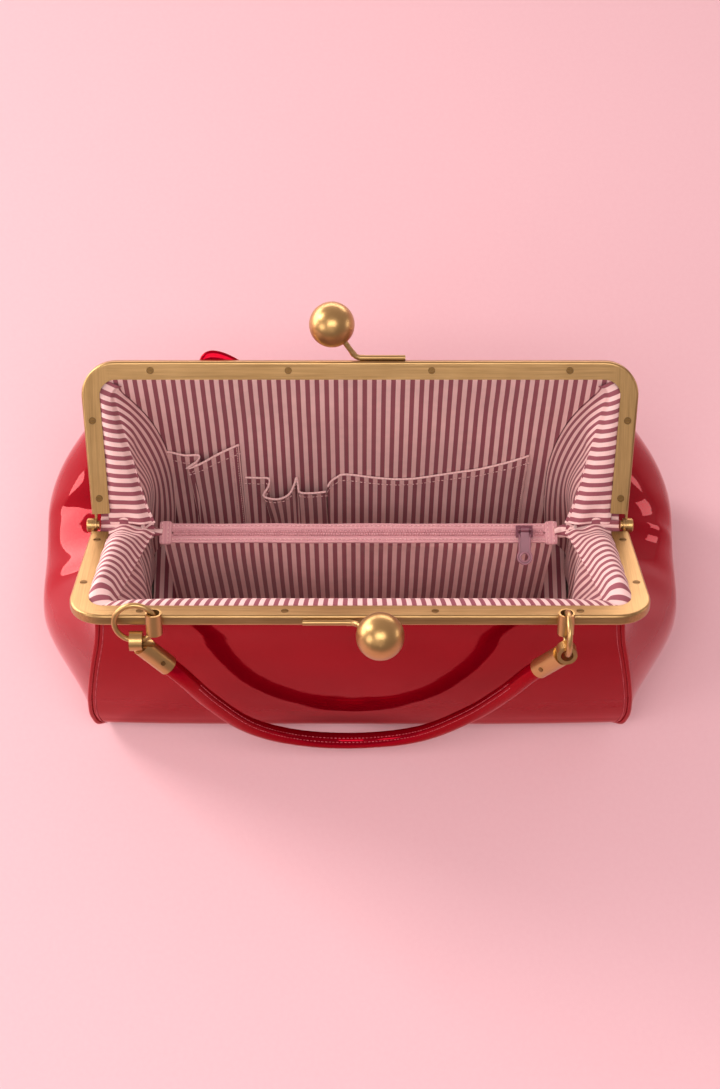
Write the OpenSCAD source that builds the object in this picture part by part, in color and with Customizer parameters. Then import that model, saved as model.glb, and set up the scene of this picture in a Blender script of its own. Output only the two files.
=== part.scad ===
// Kiss lock handbag, standing open: red patent leather body, hinged antique brass frame,
// two crossing clasp balls, striped lining with a zip divider, and two rolled handles on rings.
// Millimetres, +X to the viewer's right, +Y to the back, +Z up, origin on the floor under the base.

/* [Frame] */
// height of the frame hinge axis above the floor
hinge_height = 135; // [100:1:180]
// angle that each frame half leans out from upright
open_angle = 53; // [40:1:60]
// distance from the hinge axis to the outer edge of the bar
frame_height = 96.5; // [80:0.5:120]
// half width between the outer edges at the hinges
hinge_half_width = 156; // [140:1:170]
// lean of each frame leg
leg_flare = 3; // [0:0.5:5]
// outer radius of the frame corners
corner_radius = 20; // [16:1:30]
// width of the flat frame face
bar_width = 10.5; // [8:0.5:14]
// depth of the frame rim
rim_depth = 6.4; // [5:0.2:9]
// thickness of the brass sheet
brass_gauge = 1.2; // [0.8:0.1:1.6]

/* [Clasp] */
// diameter of each clasp ball
ball_d = 26; // [20:0.5:32]
// height of the ball centre above the edge of the bar
ball_above = 21.5; // [18:0.5:28]
// side offset of the front ball
front_ball_x = 10.8; // [8:0.1:18]
// side offset of the rear ball, to the left
rear_ball_x = 16; // [8:0.1:18]
// diameter of the clasp stems
stem_d = 3.2; // [2.4:0.1:4]

/* [Handles] */
// side offset of the handle lugs
lug_x = 111.5; // [100:0.5:125]
// centre line radius of the handle rings
ring_radius = 11.3; // [10:0.1:14]
// wire diameter of the handle rings
ring_wire = 3; // [2.4:0.1:3.6]
// diameter of the rolled handles
handle_d = 10; // [8:0.5:12]
// length of a ferrule from its eye
ferrule_length = 26; // [22:1:34]

/* [Body] */
// thickness of the leather
leather = 1.8; // [1.2:0.1:2.4]
// thickness of the lining cloth
cloth = 0.8; // [0.6:0.1:1.2]
// how far the gussets bulge
gusset_bulge = 38; // [20:1:50]

/* [Zip divider] */
// height of the zip tape
zip_height = 118; // [100:1:125]
// middle of the zip, front to back
zip_y = 2; // [-5:0.5:8]
// right end of the zip
zip_right = 116.6; // [105:0.2:122]
// left end of the zip
zip_left = -118.4; // [-122:0.2:-105]
// rest place of the slider
slider_x = 97; // [-100:1:104]

/* [Shown part] */
// the sub-part to build, or all of them

/* [Hidden] */
$fn = 48;
mid_gap = 0.15;
edge_round = 1.5;
hole_gap = 0.05;
brass = "#a9834c";
brass_light = "#b9935a";
red = "#9b1b2e";
pink_cloth = "#c98e8c";
zip_pink = "#c98a8e";
mauve = "#8e5560";

leg_end = 6.5;
corner_x = hinge_half_width + (frame_height - corner_radius) * tan(leg_flare) - corner_radius / cos(leg_flare);
leg_top = (frame_height - corner_radius - corner_radius * sin(leg_flare)) / cos(leg_flare);
tongue_r = 4.2;
rivet_r = 1.6;
rivet_head_r = 4.2;
rivet_head_h = 3;
outer_tongue = [hinge_half_width - 1.25, 1.25];
inner_tongue = [hinge_half_width - 2.7, 1.25];

lug_r = 4.5;
lug_bore = 3.4;
lug_len = 13;
lug_mid = -1.5;
lug_e = frame_height + lug_r + 0.3;
ring_offset = (ring_radius + sqrt(pow(ring_radius, 2) - pow(lug_len / 2, 2))) / 2;
eye_r = 5.5;
eye_width = 7;
eye_bore = 3.4;
eye_drop = 0.9;
barrel_r = handle_d / 2 + 0.75;
socket_r = handle_d / 2 + 0.2;
rear_lug_e = frame_height - 6.5;
rear_lug_n = -(mid_gap + rim_depth + 0.3 + lug_r);
rear_ring_lean = 27;

// how the body grows with the frame: its depth, its width and its height
mouth_e = frame_height - bar_width - 0.5;
deep = mouth_e * sin(open_angle) / 68.28;
wide = hinge_half_width / 156;
panel_top = hinge_height + (mouth_e - 10) * cos(open_angle) + 0.2;
tall = panel_top / 180.6;
function grown(profile, width_scale) = [for (p = profile) [p[0] * tall, p[1] * width_scale]];

// profile of the leather: half depth and seam half width against height
panel_depth = grown([
    [0, 77], [6, 81], [14, 84.4], [30, 86], [60, 85.6], [90, 84], [120, 81.2], [150, 77.4], [181, 73]
], deep);
seam_width = grown([
    [0, 157], [6, 160], [14, 162.4], [30, 164], [60, 162.5], [90, 158.5], [120, 153.5], [150, 148], [181, 144]
], wide);
floor_gap = 0.4;
// profile of the lining: half depth and half width of its walls against height
lining_depth = grown([[8, 48], [60, 55], [120, 62.5], [160, 66.9], [184, 68.95]], deep);
lining_width = grown([[8, 134], [60, 130], [120, 127], [150, 131], [170, 137.5], [184, 142.6]], wide);
lining_floor = 9.2;
lining_top = panel_top + 1.2;

function unit(v) = v / norm(v);
function mix(a, b, t) = a + (b - a) * t;

// place of a point of a frame half given as [x, n, e]: n towards the other half, e out from the hinge
function front_point(p) = [
    p[0],
    p[1] * cos(open_angle) - p[2] * sin(open_angle),
    hinge_height + p[1] * sin(open_angle) + p[2] * cos(open_angle)
];
function rear_point(p) = let (q = front_point(p)) [-q[0], -q[1], q[2]];

module on_front() {
    translate([0, 0, hinge_height]) rotate([open_angle, 0, 0]) children();
}

module on_rear() {
    rotate([0, 0, 180]) on_front() children();
}

// turns +Z to the direction v
module along(v) {
    rotate([0, acos(v[2] / norm(v)), atan2(v[1], v[0])]) children();
}

// solid between two equal grids of points, rows of columns
module sheet(face, back) {
    rows = len(face);
    cols = len(face[0]);
    half = rows * cols;
    points = [for (g = [face, back]) for (row = g) for (p = row) p];
    skin = [for (r = [0 : rows - 2]) for (c = [0 : cols - 2]) let (i = r * cols + c) each [
        [i, i + 1, i + cols + 1], [i, i + cols + 1, i + cols]
    ]];
    inner = [for (f = skin) [f[2] + half, f[1] + half, f[0] + half]];
    rim = concat(
        [for (c = [0 : cols - 1]) c],
        [for (r = [1 : rows - 1]) r * cols + cols - 1],
        [for (c = [cols - 2 : -1 : 0]) (rows - 1) * cols + c],
        [for (r = [rows - 2 : -1 : 1]) r * cols]
    );
    edge = [for (k = [0 : len(rim) - 1]) let (a = rim[k], b = rim[(k + 1) % len(rim)]) each [
        [b, a, a + half], [b, a + half, b + half]
    ]];
    polyhedron(points, concat(skin, inner, edge));
}

// point on a smooth curve through the given points
function curve_point(p, i, t) =
    let (
        a = p[max(i - 1, 0)],
        b = p[i],
        c = p[i + 1],
        d = p[min(i + 2, len(p) - 1)]
    )
    0.5 * (2 * b + (c - a) * t + (2 * a - 5 * b + 4 * c - d) * t * t + (3 * b - a - 3 * c + d) * t * t * t);

// round tube of radius r along a list of points that runs mostly across X and Z
module tube(path, r, sides) {
    n = len(path);
    tangent = [for (i = [0 : n - 1]) unit(path[min(i + 1, n - 1)] - path[max(i - 1, 0)])];
    points = [for (i = [0 : n - 1]) let (
        s = unit(cross(tangent[i], [0, 1, 0])),
        u = cross(s, tangent[i])
    ) each [for (k = [0 : sides - 1]) path[i] + r * (cos(360 * k / sides) * s + sin(360 * k / sides) * u)]];
    wall = [for (i = [0 : n - 2]) for (k = [0 : sides - 1]) let (
        a = i * sides + k,
        b = i * sides + (k + 1) % sides
    ) each [[a, b, b + sides], [a, b + sides, a + sides]]];
    start = [for (k = [sides - 1 : -1 : 0]) k];
    finish = [for (k = [0 : sides - 1]) (n - 1) * sides + k];
    polyhedron(points, concat(wall, [start, finish]));
}

// leather body

function panel_y(z, u) = lookup(z, panel_depth) - 1.4 * pow(abs(u), 4);
function panel_grid(inset) = [for (r = [0 : 12]) let (z = mix(floor_gap, panel_top, r / 12)) [
    for (c = [0 : 16]) let (u = c / 8 - 1) [u * lookup(z, seam_width), -(panel_y(z, u) - inset), z]
]];

module panel() {
    color(red) sheet(panel_grid(0), panel_grid(leather));
}

module front_panel() {
    panel();
}

module rear_panel() {
    rotate([0, 0, 180]) panel();
}

function gusset_swell(s, t) = gusset_bulge * (1 - pow(abs(s), 2.2)) * sin(180 * pow(t, 1.5));
function gusset_top(s) = mix(hinge_height - 8.8, panel_top - 0.2, abs(s));
function gusset_grid(inset) = [for (r = [0 : 12]) let (t = r / 12) [
    for (c = [0 : 16]) let (
        s = c / 8 - 1,
        z = mix(floor_gap, gusset_top(s), t),
        y = s * (panel_y(z, 1) - leather - 0.35)
    ) [lookup(t * panel_top, seam_width) + gusset_swell(s, t) - inset, y, z]
]];

module gusset() {
    color(red) sheet(gusset_grid(0), gusset_grid(leather));
}

module right_gusset() {
    gusset();
}

module left_gusset() {
    rotate([0, 0, 180]) gusset();
}

// flat plate with rounded corners
module plate(half_x, half_y, r, h) {
    linear_extrude(h) union() {
        square([2 * half_x - 2 * r, 2 * half_y], center = true);
        square([2 * half_x, 2 * half_y - 2 * r], center = true);
        for (x = [-1, 1]) for (y = [-1, 1]) translate([x * (half_x - r), y * (half_y - r)]) circle(r);
    }
}

module base_panel() {
    color(red) plate(seam_width[0][1] - 2.6, panel_depth[0][1] - 5.2, 5, 2);
}

module base_board() {
    color("#8a7a66") translate([0, 0, 2.2]) plate(seam_width[0][1] - 7, panel_depth[0][1] - 7, 5, 2.4);
}

// lining

function wall_y(z) = lookup(z, lining_depth);
function wall_grid(side, inset, x0, x1, z0, z1, rows, cols) = [for (r = [0 : rows]) let (z = mix(z0, z1, r / rows)) [
    for (c = [0 : cols]) let (
        u = mix(x0, x1, c / cols),
        limit = lookup(z, lining_width) - 1.2
    ) [max(-limit, min(limit, u)), side * (wall_y(z) + inset), z]
]];

module lining_wall() {
    grid_out = [for (r = [0 : 8]) let (z = mix(lining_floor, lining_top, r / 8)) [
        for (c = [0 : 12]) [(c / 6 - 1) * (lookup(z, lining_width) - 0.5), -(wall_y(z) + cloth), z]
    ]];
    grid_in = [for (row = grid_out) [for (p = row) [p[0], p[1] + cloth, p[2]]]];
    color(pink_cloth) sheet(grid_out, grid_in);
}

module front_lining() {
    lining_wall();
}

module rear_lining() {
    rotate([0, 0, 180]) lining_wall();
}

function lining_edge(s) = mix(hinge_height - 3.5, lining_top, abs(s));
function lining_puff(s, t) = 11 * (1 - pow(abs(s), 3)) * sin(180 * pow(t, 2.4));
function gusset_lining_grid(inset) = [for (r = [0 : 12]) let (t = r / 12) [
    for (c = [0 : 12]) let (
        s = c / 6 - 1,
        z = mix(lining_floor, lining_edge(s), t),
        x = lookup(t * lining_top, lining_width) - lining_puff(s, t) - 0.6
    ) [x + inset, s * (wall_y(z) - 0.4), z]
]];

module gusset_lining() {
    color(pink_cloth) sheet(gusset_lining_grid(cloth), gusset_lining_grid(0));
}

module right_gusset_lining() {
    gusset_lining();
}

module left_gusset_lining() {
    rotate([0, 0, 180]) gusset_lining();
}

module base_lining() {
    color(pink_cloth) translate([0, 0, lining_floor - cloth - 0.3]) plate(lining_width[0][1] - 0.8, lining_depth[0][1] - 0.6, 6, cloth);
}

// slip pockets on the rear wall
module pocket(x0, x1, z0, z1) {
    color(pink_cloth) sheet(
        wall_grid(1, -0.4 - cloth, x0, x1, z0, z1, 6, 6),
        wall_grid(1, -0.4, x0, x1, z0, z1, 6, 6)
    );
}

module left_pocket() {
    pocket(-116 * wide, -72 * wide, 14, 108 * tall);
}

module centre_pocket() {
    pocket(-71 * wide, -21 * wide, 14, 77 * tall);
}

module right_pocket() {
    pocket(-20 * wide, 102 * wide, 14, 88 * tall);
}

// zip divider

// the divider walls stop short of the gusset lining at both ends of the zip
divider_inset = 2.8;

module divider_wall(y) {
    color(pink_cloth) translate([zip_left + divider_inset, y - cloth / 2, lining_floor + 0.2])
        cube([zip_right - zip_left - 2 * divider_inset, cloth, zip_height - lining_floor - 0.8]);
}

module divider_front() {
    divider_wall(zip_y - 5.3);
}

module divider_rear() {
    divider_wall(zip_y + 5.3);
}

module tape(y0, y1) {
    color(zip_pink) translate([zip_left, y0, zip_height - 0.4]) cube([zip_right - zip_left, y1 - y0, 0.8]);
}

module zip_tape_front() {
    tape(zip_y - 6.4, zip_y - 2);
}

module zip_tape_rear() {
    tape(zip_y + 2, zip_y + 6);
}

module zip_coil() {
    color(zip_pink) for (y = [zip_y - 1.9, zip_y + 0.6])
        translate([zip_left + 7.2, y, zip_height - 0.8]) cube([zip_right - zip_left - 14.4, 1.3, 2.2]);
}

module zip_tab(x) {
    color(zip_pink) translate([x, zip_y - 6.4, zip_height + 0.5]) cube([7, 12.4, 1.6]);
}

module zip_tab_left() {
    zip_tab(zip_left);
}

module zip_tab_right() {
    zip_tab(zip_right - 7);
}

arch_z = zip_height + 5.6;
arch_r = 0.9;

module zip_slider() {
    color(mauve) translate([slider_x, zip_y, 0]) union() {
        translate([-5, -3.6, zip_height + 1.8]) cube([10, 7.2, 1.2]);
        translate([-5, -3.6, zip_height - 3]) cube([10, 7.2, 1.2]);
        translate([-1, -0.45, zip_height - 2]) cube([4, 0.9, 4]);
        for (x = [-3.9, 2.7]) translate([x, -1.1, zip_height + 2.8]) cube([1.2, 2.2, arch_z - zip_height - 2.8]);
        for (x = [-3.9, 2.7]) translate([x, 0, arch_z]) rotate([0, 90, 0]) cylinder(r = 1.1, h = 1.2);
        translate([-3.5, 0, arch_z]) rotate([0, 90, 0]) cylinder(r = arch_r, h = 7);
    }
}

pull_length = 21;
pull_dip = 21;

module zip_pull() {
    color(mauve) translate([slider_x, zip_y, arch_z]) rotate([pull_dip, 0, 0]) difference() {
        union() {
            translate([-2.4, 0, 0]) rotate([0, 90, 0]) cylinder(r = 1.9, h = 4.8);
            translate([-2.4, -6, -0.8]) cube([4.8, 6, 1.6]);
            translate([-3.6, -pull_length + 4.6, -0.8]) cube([7.2, pull_length - 9, 1.6]);
            translate([0, -pull_length + 4.6, -0.8]) cylinder(r = 4.6, h = 1.6);
            translate([0, -pull_length + 4.6, -1.1]) cylinder(r = 3.3, h = 2.2);
        }
        translate([-6, 0, 0]) rotate([0, 90, 0]) cylinder(r = arch_r + 0.07, h = 12);
        translate([0, -pull_length + 4.6, -2]) cylinder(r = 2, h = 4);
    }
}

// frame

module channel_section() {
    difference() {
        union() {
            translate([edge_round, 0]) square([bar_width - edge_round, rim_depth]);
            translate([0, edge_round]) square([bar_width, rim_depth - 2 * edge_round]);
            for (b = [edge_round, rim_depth - edge_round]) translate([edge_round, b]) circle(edge_round);
        }
        translate([brass_gauge, brass_gauge]) square([bar_width, rim_depth - 2 * brass_gauge]);
    }
}

// screw places on a half: [x, e]
screw_depth = 5.2;
screw_spots = concat(
    [for (x = [-120, -41, 41, 120]) [x, frame_height - screw_depth]],
    [for (side = [-1, 1]) for (e = [16, 62])
        [side * (hinge_half_width + e * tan(leg_flare) - screw_depth / cos(leg_flare)), e]]
);

module frame_leg(side) {
    translate([side * hinge_half_width, 0, 0]) rotate([0, side * leg_flare, 0])
        translate([0, side > 0 ? -mid_gap : -mid_gap - rim_depth, leg_end])
            rotate([0, 0, side > 0 ? 180 : 0]) linear_extrude(leg_top - leg_end) channel_section();
}

module frame_corner(turn) {
    rotate([90, 0, 0]) rotate([0, 0, turn]) rotate_extrude(angle = 90 + leg_flare)
        translate([corner_radius, 0]) mirror([1, 0]) channel_section();
}

// splice inside the channel across a joint of two lengths, at the outer edge
module splice() {
    translate([-1.5, -rim_depth + 0.6, -1.8]) cube([3, rim_depth - 1.2, 1.2]);
}

module tongue(span, side) {
    x0 = side > 0 ? span[0] : -span[0] - span[1];
    translate([x0, 0, 0]) rotate([0, 90, 0]) cylinder(r = tongue_r, h = span[1]);
    translate([x0, -tongue_r, 0]) cube([span[1], tongue_r - mid_gap, leg_end + 2]);
}

module half_frame() {
    color(brass) difference() {
        union() {
            translate([0, -mid_gap, frame_height]) rotate([0, 0, 180]) rotate([0, 90, 0])
                linear_extrude(2 * corner_x, center = true) channel_section();
            translate([corner_x, -mid_gap, frame_height - corner_radius]) frame_corner(-leg_flare);
            translate([-corner_x, -mid_gap, frame_height - corner_radius]) frame_corner(90);
            for (side = [-1, 1]) {
                frame_leg(side);
                translate([side * corner_x, -mid_gap, frame_height]) splice();
                translate([side * hinge_half_width, -mid_gap, 0]) rotate([0, side * leg_flare, 0])
                    translate([0, 0, leg_top]) rotate([0, side * 90, 0]) splice();
            }
            tongue(inner_tongue, 1);
            translate([inner_tongue[0], -5, leg_end]) cube([2.4, 3.4, 3]);
            tongue(outer_tongue, -1);
        }
        translate([-200, 0, 0]) rotate([0, 90, 0]) cylinder(r = rivet_r + hole_gap, h = 400);
        for (p = screw_spots) translate([p[0], 0.5, p[1]]) rotate([90, 0, 0]) {
            cylinder(d = 4.3, h = 0.5 + mid_gap + 0.9);
            cylinder(d = 2.2, h = 9);
        }
    }
}

module half_screws() {
    color(brass_light) for (p = screw_spots) translate([p[0], -mid_gap - 0.05, p[1]]) rotate([90, 0, 0]) difference() {
        union() {
            cylinder(d = 4.1, h = 0.8);
            cylinder(d = 2, h = rim_depth - 0.3);
        }
        translate([-3, -0.3, -0.1]) cube([6, 0.6, 0.45]);
    }
}

module front_frame() {
    on_front() half_frame();
}

module rear_frame() {
    on_rear() half_frame();
}

module front_screws() {
    on_front() half_screws();
}

module rear_screws() {
    on_rear() half_screws();
}

// rivet through both tongues, head outside, on the +X side
module rivet() {
    color(brass_light) translate([0, 0, hinge_height]) union() {
        translate([inner_tongue[0] - 0.4, 0, 0]) rotate([0, 90, 0]) cylinder(r = rivet_r, h = 3.6);
        translate([inner_tongue[0] - 1.4, 0, 0]) rotate([0, 90, 0]) cylinder(r = 2.8, h = 1.3);
        translate([hinge_half_width + 0.1, 0, 0]) rotate([0, 90, 0]) {
            cylinder(r = rivet_head_r, h = rivet_head_h - 0.6);
            translate([0, 0, rivet_head_h - 0.7]) cylinder(r1 = rivet_head_r, r2 = rivet_head_r - 0.7, h = 0.7);
        }
    }
}

module hinge_rivet_right() {
    rivet();
}

module hinge_rivet_left() {
    rotate([0, 0, 180]) rivet();
}

// clasp

stem_r = stem_d / 2;
stem_run = 25;
stem_bend = 6;
stem_n = -mid_gap - rim_depth / 2;
stem_e = frame_height + stem_r + 0.02;
ball_n = 1;
ball_reach = frame_height + ball_above;
ball_dx = 17;
ball_rise = norm([ball_reach - stem_e, ball_n - stem_n]);
stem_tilt = atan2(ball_n - stem_n, ball_reach - stem_e);
stem_turn = atan2(ball_rise - stem_bend, ball_dx) + asin(stem_bend / norm([ball_dx, ball_rise - stem_bend]));
stem_straight = (ball_dx - stem_bend * sin(stem_turn)) / cos(stem_turn);

// stem coordinates: origin at the start of the bend, X along the rod, Z towards the ball
module at_stem(ball_x) {
    translate([ball_x - ball_dx, stem_n, stem_e]) rotate([-stem_tilt, 0, 0]) children();
}

module clasp_stem(ball_x) {
    color(brass) at_stem(ball_x) union() {
        translate([-stem_run, 0, 0]) rotate([0, 90, 0]) cylinder(r = stem_r, h = stem_run);
        translate([0, 0, stem_bend]) rotate([90, 0, 0]) rotate([0, 0, -90]) rotate_extrude(angle = stem_turn)
            translate([stem_bend, 0]) circle(r = stem_r);
        translate([stem_bend * sin(stem_turn), 0, stem_bend * (1 - cos(stem_turn))]) rotate([0, 90 - stem_turn, 0])
            cylinder(r = stem_r, h = stem_straight - ball_d / 2 + 5);
        translate([-1.2, 0, 0]) rotate([0, 90, 0]) cylinder(r = stem_r + 0.15, h = 2.4);
        translate([stem_bend * sin(stem_turn), 0, stem_bend * (1 - cos(stem_turn))]) rotate([0, 90 - stem_turn, 0])
            translate([0, 0, -1.2]) cylinder(r = stem_r + 0.15, h = 2.4);
    }
}

module clasp_ball(ball_x) {
    color(brass_light) at_stem(ball_x) translate([ball_dx, 0, ball_rise]) difference() {
        sphere(d = ball_d);
        rotate([0, 90 - stem_turn, 0]) translate([0, 0, -ball_d]) cylinder(r = stem_r + hole_gap, h = ball_d / 2 + 5.5);
    }
}

module front_clasp_stem() {
    on_front() clasp_stem(front_ball_x);
}

module front_clasp_ball() {
    on_front() clasp_ball(front_ball_x);
}

module rear_clasp_stem() {
    on_rear() clasp_stem(rear_ball_x);
}

module rear_clasp_ball() {
    on_rear() clasp_ball(rear_ball_x);
}

// handle lugs: a short tube brazed on a saddle

module lug_tube() {
    translate([0, 0, -lug_len / 2]) cylinder(r = lug_r, h = lug_len);
}

module lug_hole() {
    translate([0, 0, -lug_len]) cylinder(r = lug_bore, h = 2 * lug_len);
}

module front_lug(side) {
    color(brass_light) on_front() translate([side * lug_x, lug_mid, lug_e]) difference() {
        union() {
            rotate([90, 0, 0]) lug_tube();
            translate([-2.6, -3.4, -lug_r - 0.26]) cube([5.2, 3.2, 2.2]);
        }
        rotate([90, 0, 0]) lug_hole();
    }
}

module rear_lug(side) {
    color(brass_light) on_rear() translate([-side * lug_x, rear_lug_n, rear_lug_e]) difference() {
        union() {
            rotate([0, 90, 0]) lug_tube();
            translate([-3, lug_r - 2, -2.4]) cube([6, 2.26, 4.8]);
        }
        rotate([0, 90, 0]) lug_hole();
    }
}

module front_lug_left() {
    front_lug(-1);
}

module front_lug_right() {
    front_lug(1);
}

module rear_lug_left() {
    rear_lug(-1);
}

module rear_lug_right() {
    rear_lug(1);
}

// rings

module ring() {
    color(brass_light) rotate_extrude() translate([ring_radius, 0]) circle(d = ring_wire);
}

module front_ring_left() {
    on_front() translate([-lug_x - ring_offset, lug_mid, lug_e]) ring();
}

module front_ring_right() {
    on_front() translate([lug_x, lug_mid, lug_e + ring_offset]) rotate([0, 90, 0]) ring();
}

rear_lug_place = rear_point([0, rear_lug_n, rear_lug_e]);
rear_hang = [0, sin(rear_ring_lean), -cos(rear_ring_lean)];

module rear_ring(side) {
    translate(rear_lug_place + [side * lug_x, 0, 0] + ring_offset * rear_hang)
        rotate([90 + rear_ring_lean, 0, 0]) ring();
}

module rear_ring_left() {
    rear_ring(-1);
}

module rear_ring_right() {
    rear_ring(1);
}

// ferrules: an eye on the ring and a barrel that holds the handle end

left_wire = front_point([-lug_x - ring_offset, lug_mid - ring_radius, lug_e]);
right_wire = front_point([lug_x, lug_mid - ring_radius, lug_e + ring_offset]);
front_left_eye = left_wire + [0, 0, -eye_drop];
front_right_eye = right_wire + eye_drop * [0, -cos(open_angle), -sin(open_angle)];
front_left_run = unit([0.62, -0.3, -0.72]);
front_right_run = unit([-0.5, -0.06, -0.86]);
front_right_bore = [0, -sin(open_angle), cos(open_angle)];
rear_wire = rear_lug_place + (ring_offset + ring_radius) * rear_hang;
rear_eye = rear_wire + [0, 0, -eye_drop];
function rear_run(side) = unit([-side * 0.16, 0.22, -0.96]);

screw_run = 19;

module ferrule(eye, bore, run, screw_side) {
    color(brass_light) translate(eye) difference() {
        union() {
            along(bore) translate([0, 0, -eye_width / 2]) cylinder(r = eye_r, h = eye_width);
            along(run) translate([0, 0, 4.4]) cylinder(r = barrel_r, h = ferrule_length - 4.4);
        }
        along(bore) translate([0, 0, -10]) cylinder(r = eye_bore, h = 20);
        along(run) translate([0, 0, 12]) cylinder(r = socket_r, h = ferrule_length);
        translate(screw_run * run) along(screw_side) cylinder(r = 1.4, h = 10);
    }
}

module set_screw(eye, run, screw_side) {
    translate(eye + screw_run * run) along(screw_side) translate([0, 0, socket_r + 0.05]) cylinder(r = 1.3, h = 0.9);
}

// direction at right angles to a ferrule that faces up and out
function screw_face(run, toward) = unit(toward - (toward * run) * run);
front_left_face = screw_face(front_left_run, [0, -0.4, 0.9]);
front_right_face = screw_face(front_right_run, [0, -0.4, 0.9]);
function rear_face(side) = screw_face(rear_run(side), [0, 1, 0]);

module front_ferrule_left() {
    ferrule(front_left_eye, [1, 0, 0], front_left_run, front_left_face);
}

module front_ferrule_right() {
    ferrule(front_right_eye, front_right_bore, front_right_run, front_right_face);
}

module rear_ferrule_left() {
    ferrule(rear_eye + [-lug_x, 0, 0], [1, 0, 0], rear_run(-1), rear_face(-1));
}

module rear_ferrule_right() {
    ferrule(rear_eye + [lug_x, 0, 0], [1, 0, 0], rear_run(1), rear_face(1));
}

module front_set_screws() {
    color(brass_light) {
        set_screw(front_left_eye, front_left_run, front_left_face);
        set_screw(front_right_eye, front_right_run, front_right_face);
    }
}

module rear_set_screws() {
    color(brass_light) for (side = [-1, 1]) set_screw(rear_eye + [side * lug_x, 0, 0], rear_run(side), rear_face(side));
}

// rolled handles

// a handle runs straight in each socket, then on a smooth curve through its hanging points
socket_start = 13;
socket_out = ferrule_length + 1;
function bent_line(p, steps) = [
    for (i = [1 : len(p) - 3]) for (k = [0 : steps - 1]) curve_point(p, i, k / steps)
];
function handle_line(eye_a, run_a, hang, eye_b, run_b) = let (
    a = eye_a + socket_out * run_a,
    b = eye_b + socket_out * run_b,
    last = hang[len(hang) - 1],
    before = hang[0] - 2 * norm(hang[0] - a) * run_a,
    after = last - 2 * norm(last - b) * run_b
) concat(
    [eye_a + socket_start * run_a, eye_a + (socket_start + 7) * run_a],
    bent_line(concat([before, a], hang, [b, after]), 6),
    [b, eye_b + (socket_start + 7) * run_b, eye_b + socket_start * run_b]
);
function hung(points) = [for (p = points) [p[0] * wide, p[1] * deep, p[2] * tall]];

front_path = handle_line(front_left_eye, front_left_run, hung([
    [-86, -101, 116], [-65.5, -101, 66], [-36.5, -99.5, 35], [0, -98.5, 26],
    [36.3, -99.5, 44], [64.7, -100.5, 88], [82.5, -101, 131]
]), front_right_eye, front_right_run);

rear_path = handle_line(rear_eye + [-lug_x, 0, 0], rear_run(-1), hung([
    [-99, 99, 98], [-72, 99, 60], [-38, 98.5, 40], [0, 98.5, 33], [38, 98.5, 40], [72, 99, 60], [99, 99, 98]
]), rear_eye + [lug_x, 0, 0], rear_run(1));

module front_handle() {
    color(red) tube(front_path, handle_d / 2, 14);
}

module rear_handle() {
    color(red) tube(rear_path, handle_d / 2, 14);
}

front_panel();
rear_panel();
left_gusset();
right_gusset();
base_panel();
base_board();
front_lining();
rear_lining();
left_gusset_lining();
right_gusset_lining();
base_lining();
divider_front();
divider_rear();
zip_tape_front();
zip_tape_rear();
zip_coil();
zip_tab_left();
zip_tab_right();
zip_slider();
zip_pull();
left_pocket();
centre_pocket();
right_pocket();
front_frame();
rear_frame();
front_screws();
rear_screws();
hinge_rivet_left();
hinge_rivet_right();
front_clasp_stem();
front_clasp_ball();
rear_clasp_stem();
rear_clasp_ball();
front_lug_left();
front_lug_right();
rear_lug_left();
rear_lug_right();
front_ring_left();
front_ring_right();
rear_ring_left();
rear_ring_right();
front_ferrule_left();
front_ferrule_right();
rear_ferrule_left();
rear_ferrule_right();
front_set_screws();
rear_set_screws();
front_handle();
rear_handle();
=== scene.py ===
"""Kiss lock handbag, standing open: red patent leather, brass frame, striped lining and a zip divider.

Lengths are in millimetres until a mesh is written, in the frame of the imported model: X across the bag,
-Y its front, +Z up. A half of the bag is -1 for the front and +1 for the rear, a side -1 left and +1 right.
"""
import math

import bpy
import numpy as np
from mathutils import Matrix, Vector


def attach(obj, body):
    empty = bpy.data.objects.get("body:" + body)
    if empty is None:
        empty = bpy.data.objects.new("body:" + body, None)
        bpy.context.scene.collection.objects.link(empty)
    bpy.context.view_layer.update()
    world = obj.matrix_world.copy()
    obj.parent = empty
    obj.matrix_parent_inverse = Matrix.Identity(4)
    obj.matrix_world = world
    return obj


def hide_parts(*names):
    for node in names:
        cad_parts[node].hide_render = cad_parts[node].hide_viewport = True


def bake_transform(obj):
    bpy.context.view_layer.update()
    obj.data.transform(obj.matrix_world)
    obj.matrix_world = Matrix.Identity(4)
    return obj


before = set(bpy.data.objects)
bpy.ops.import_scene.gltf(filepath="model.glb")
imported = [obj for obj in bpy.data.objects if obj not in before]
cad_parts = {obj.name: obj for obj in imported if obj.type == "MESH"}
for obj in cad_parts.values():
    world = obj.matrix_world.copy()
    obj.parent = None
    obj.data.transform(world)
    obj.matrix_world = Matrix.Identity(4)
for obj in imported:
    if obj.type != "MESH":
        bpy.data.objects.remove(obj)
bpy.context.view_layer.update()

MM = 0.001
FRONT, REAR = -1, 1
LEFT, RIGHT = -1, 1
HALF_NAMES = {FRONT: "front", REAR: "rear"}
SIDE_NAMES = {LEFT: "left", RIGHT: "right"}

# Frame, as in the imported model
HINGE_Z = 135.0
OPEN_ANGLE = math.radians(53)
FRAME_HEIGHT = 96.5
HINGE_HALF_WIDTH = 156.0
LEG_SLOPE = math.tan(math.radians(3))
BAR_WIDTH = 10.5
CORNER_RADIUS = 20.0
CORNER_X = 139.98
CORNER_E = FRAME_HEIGHT - CORNER_RADIUS

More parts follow.
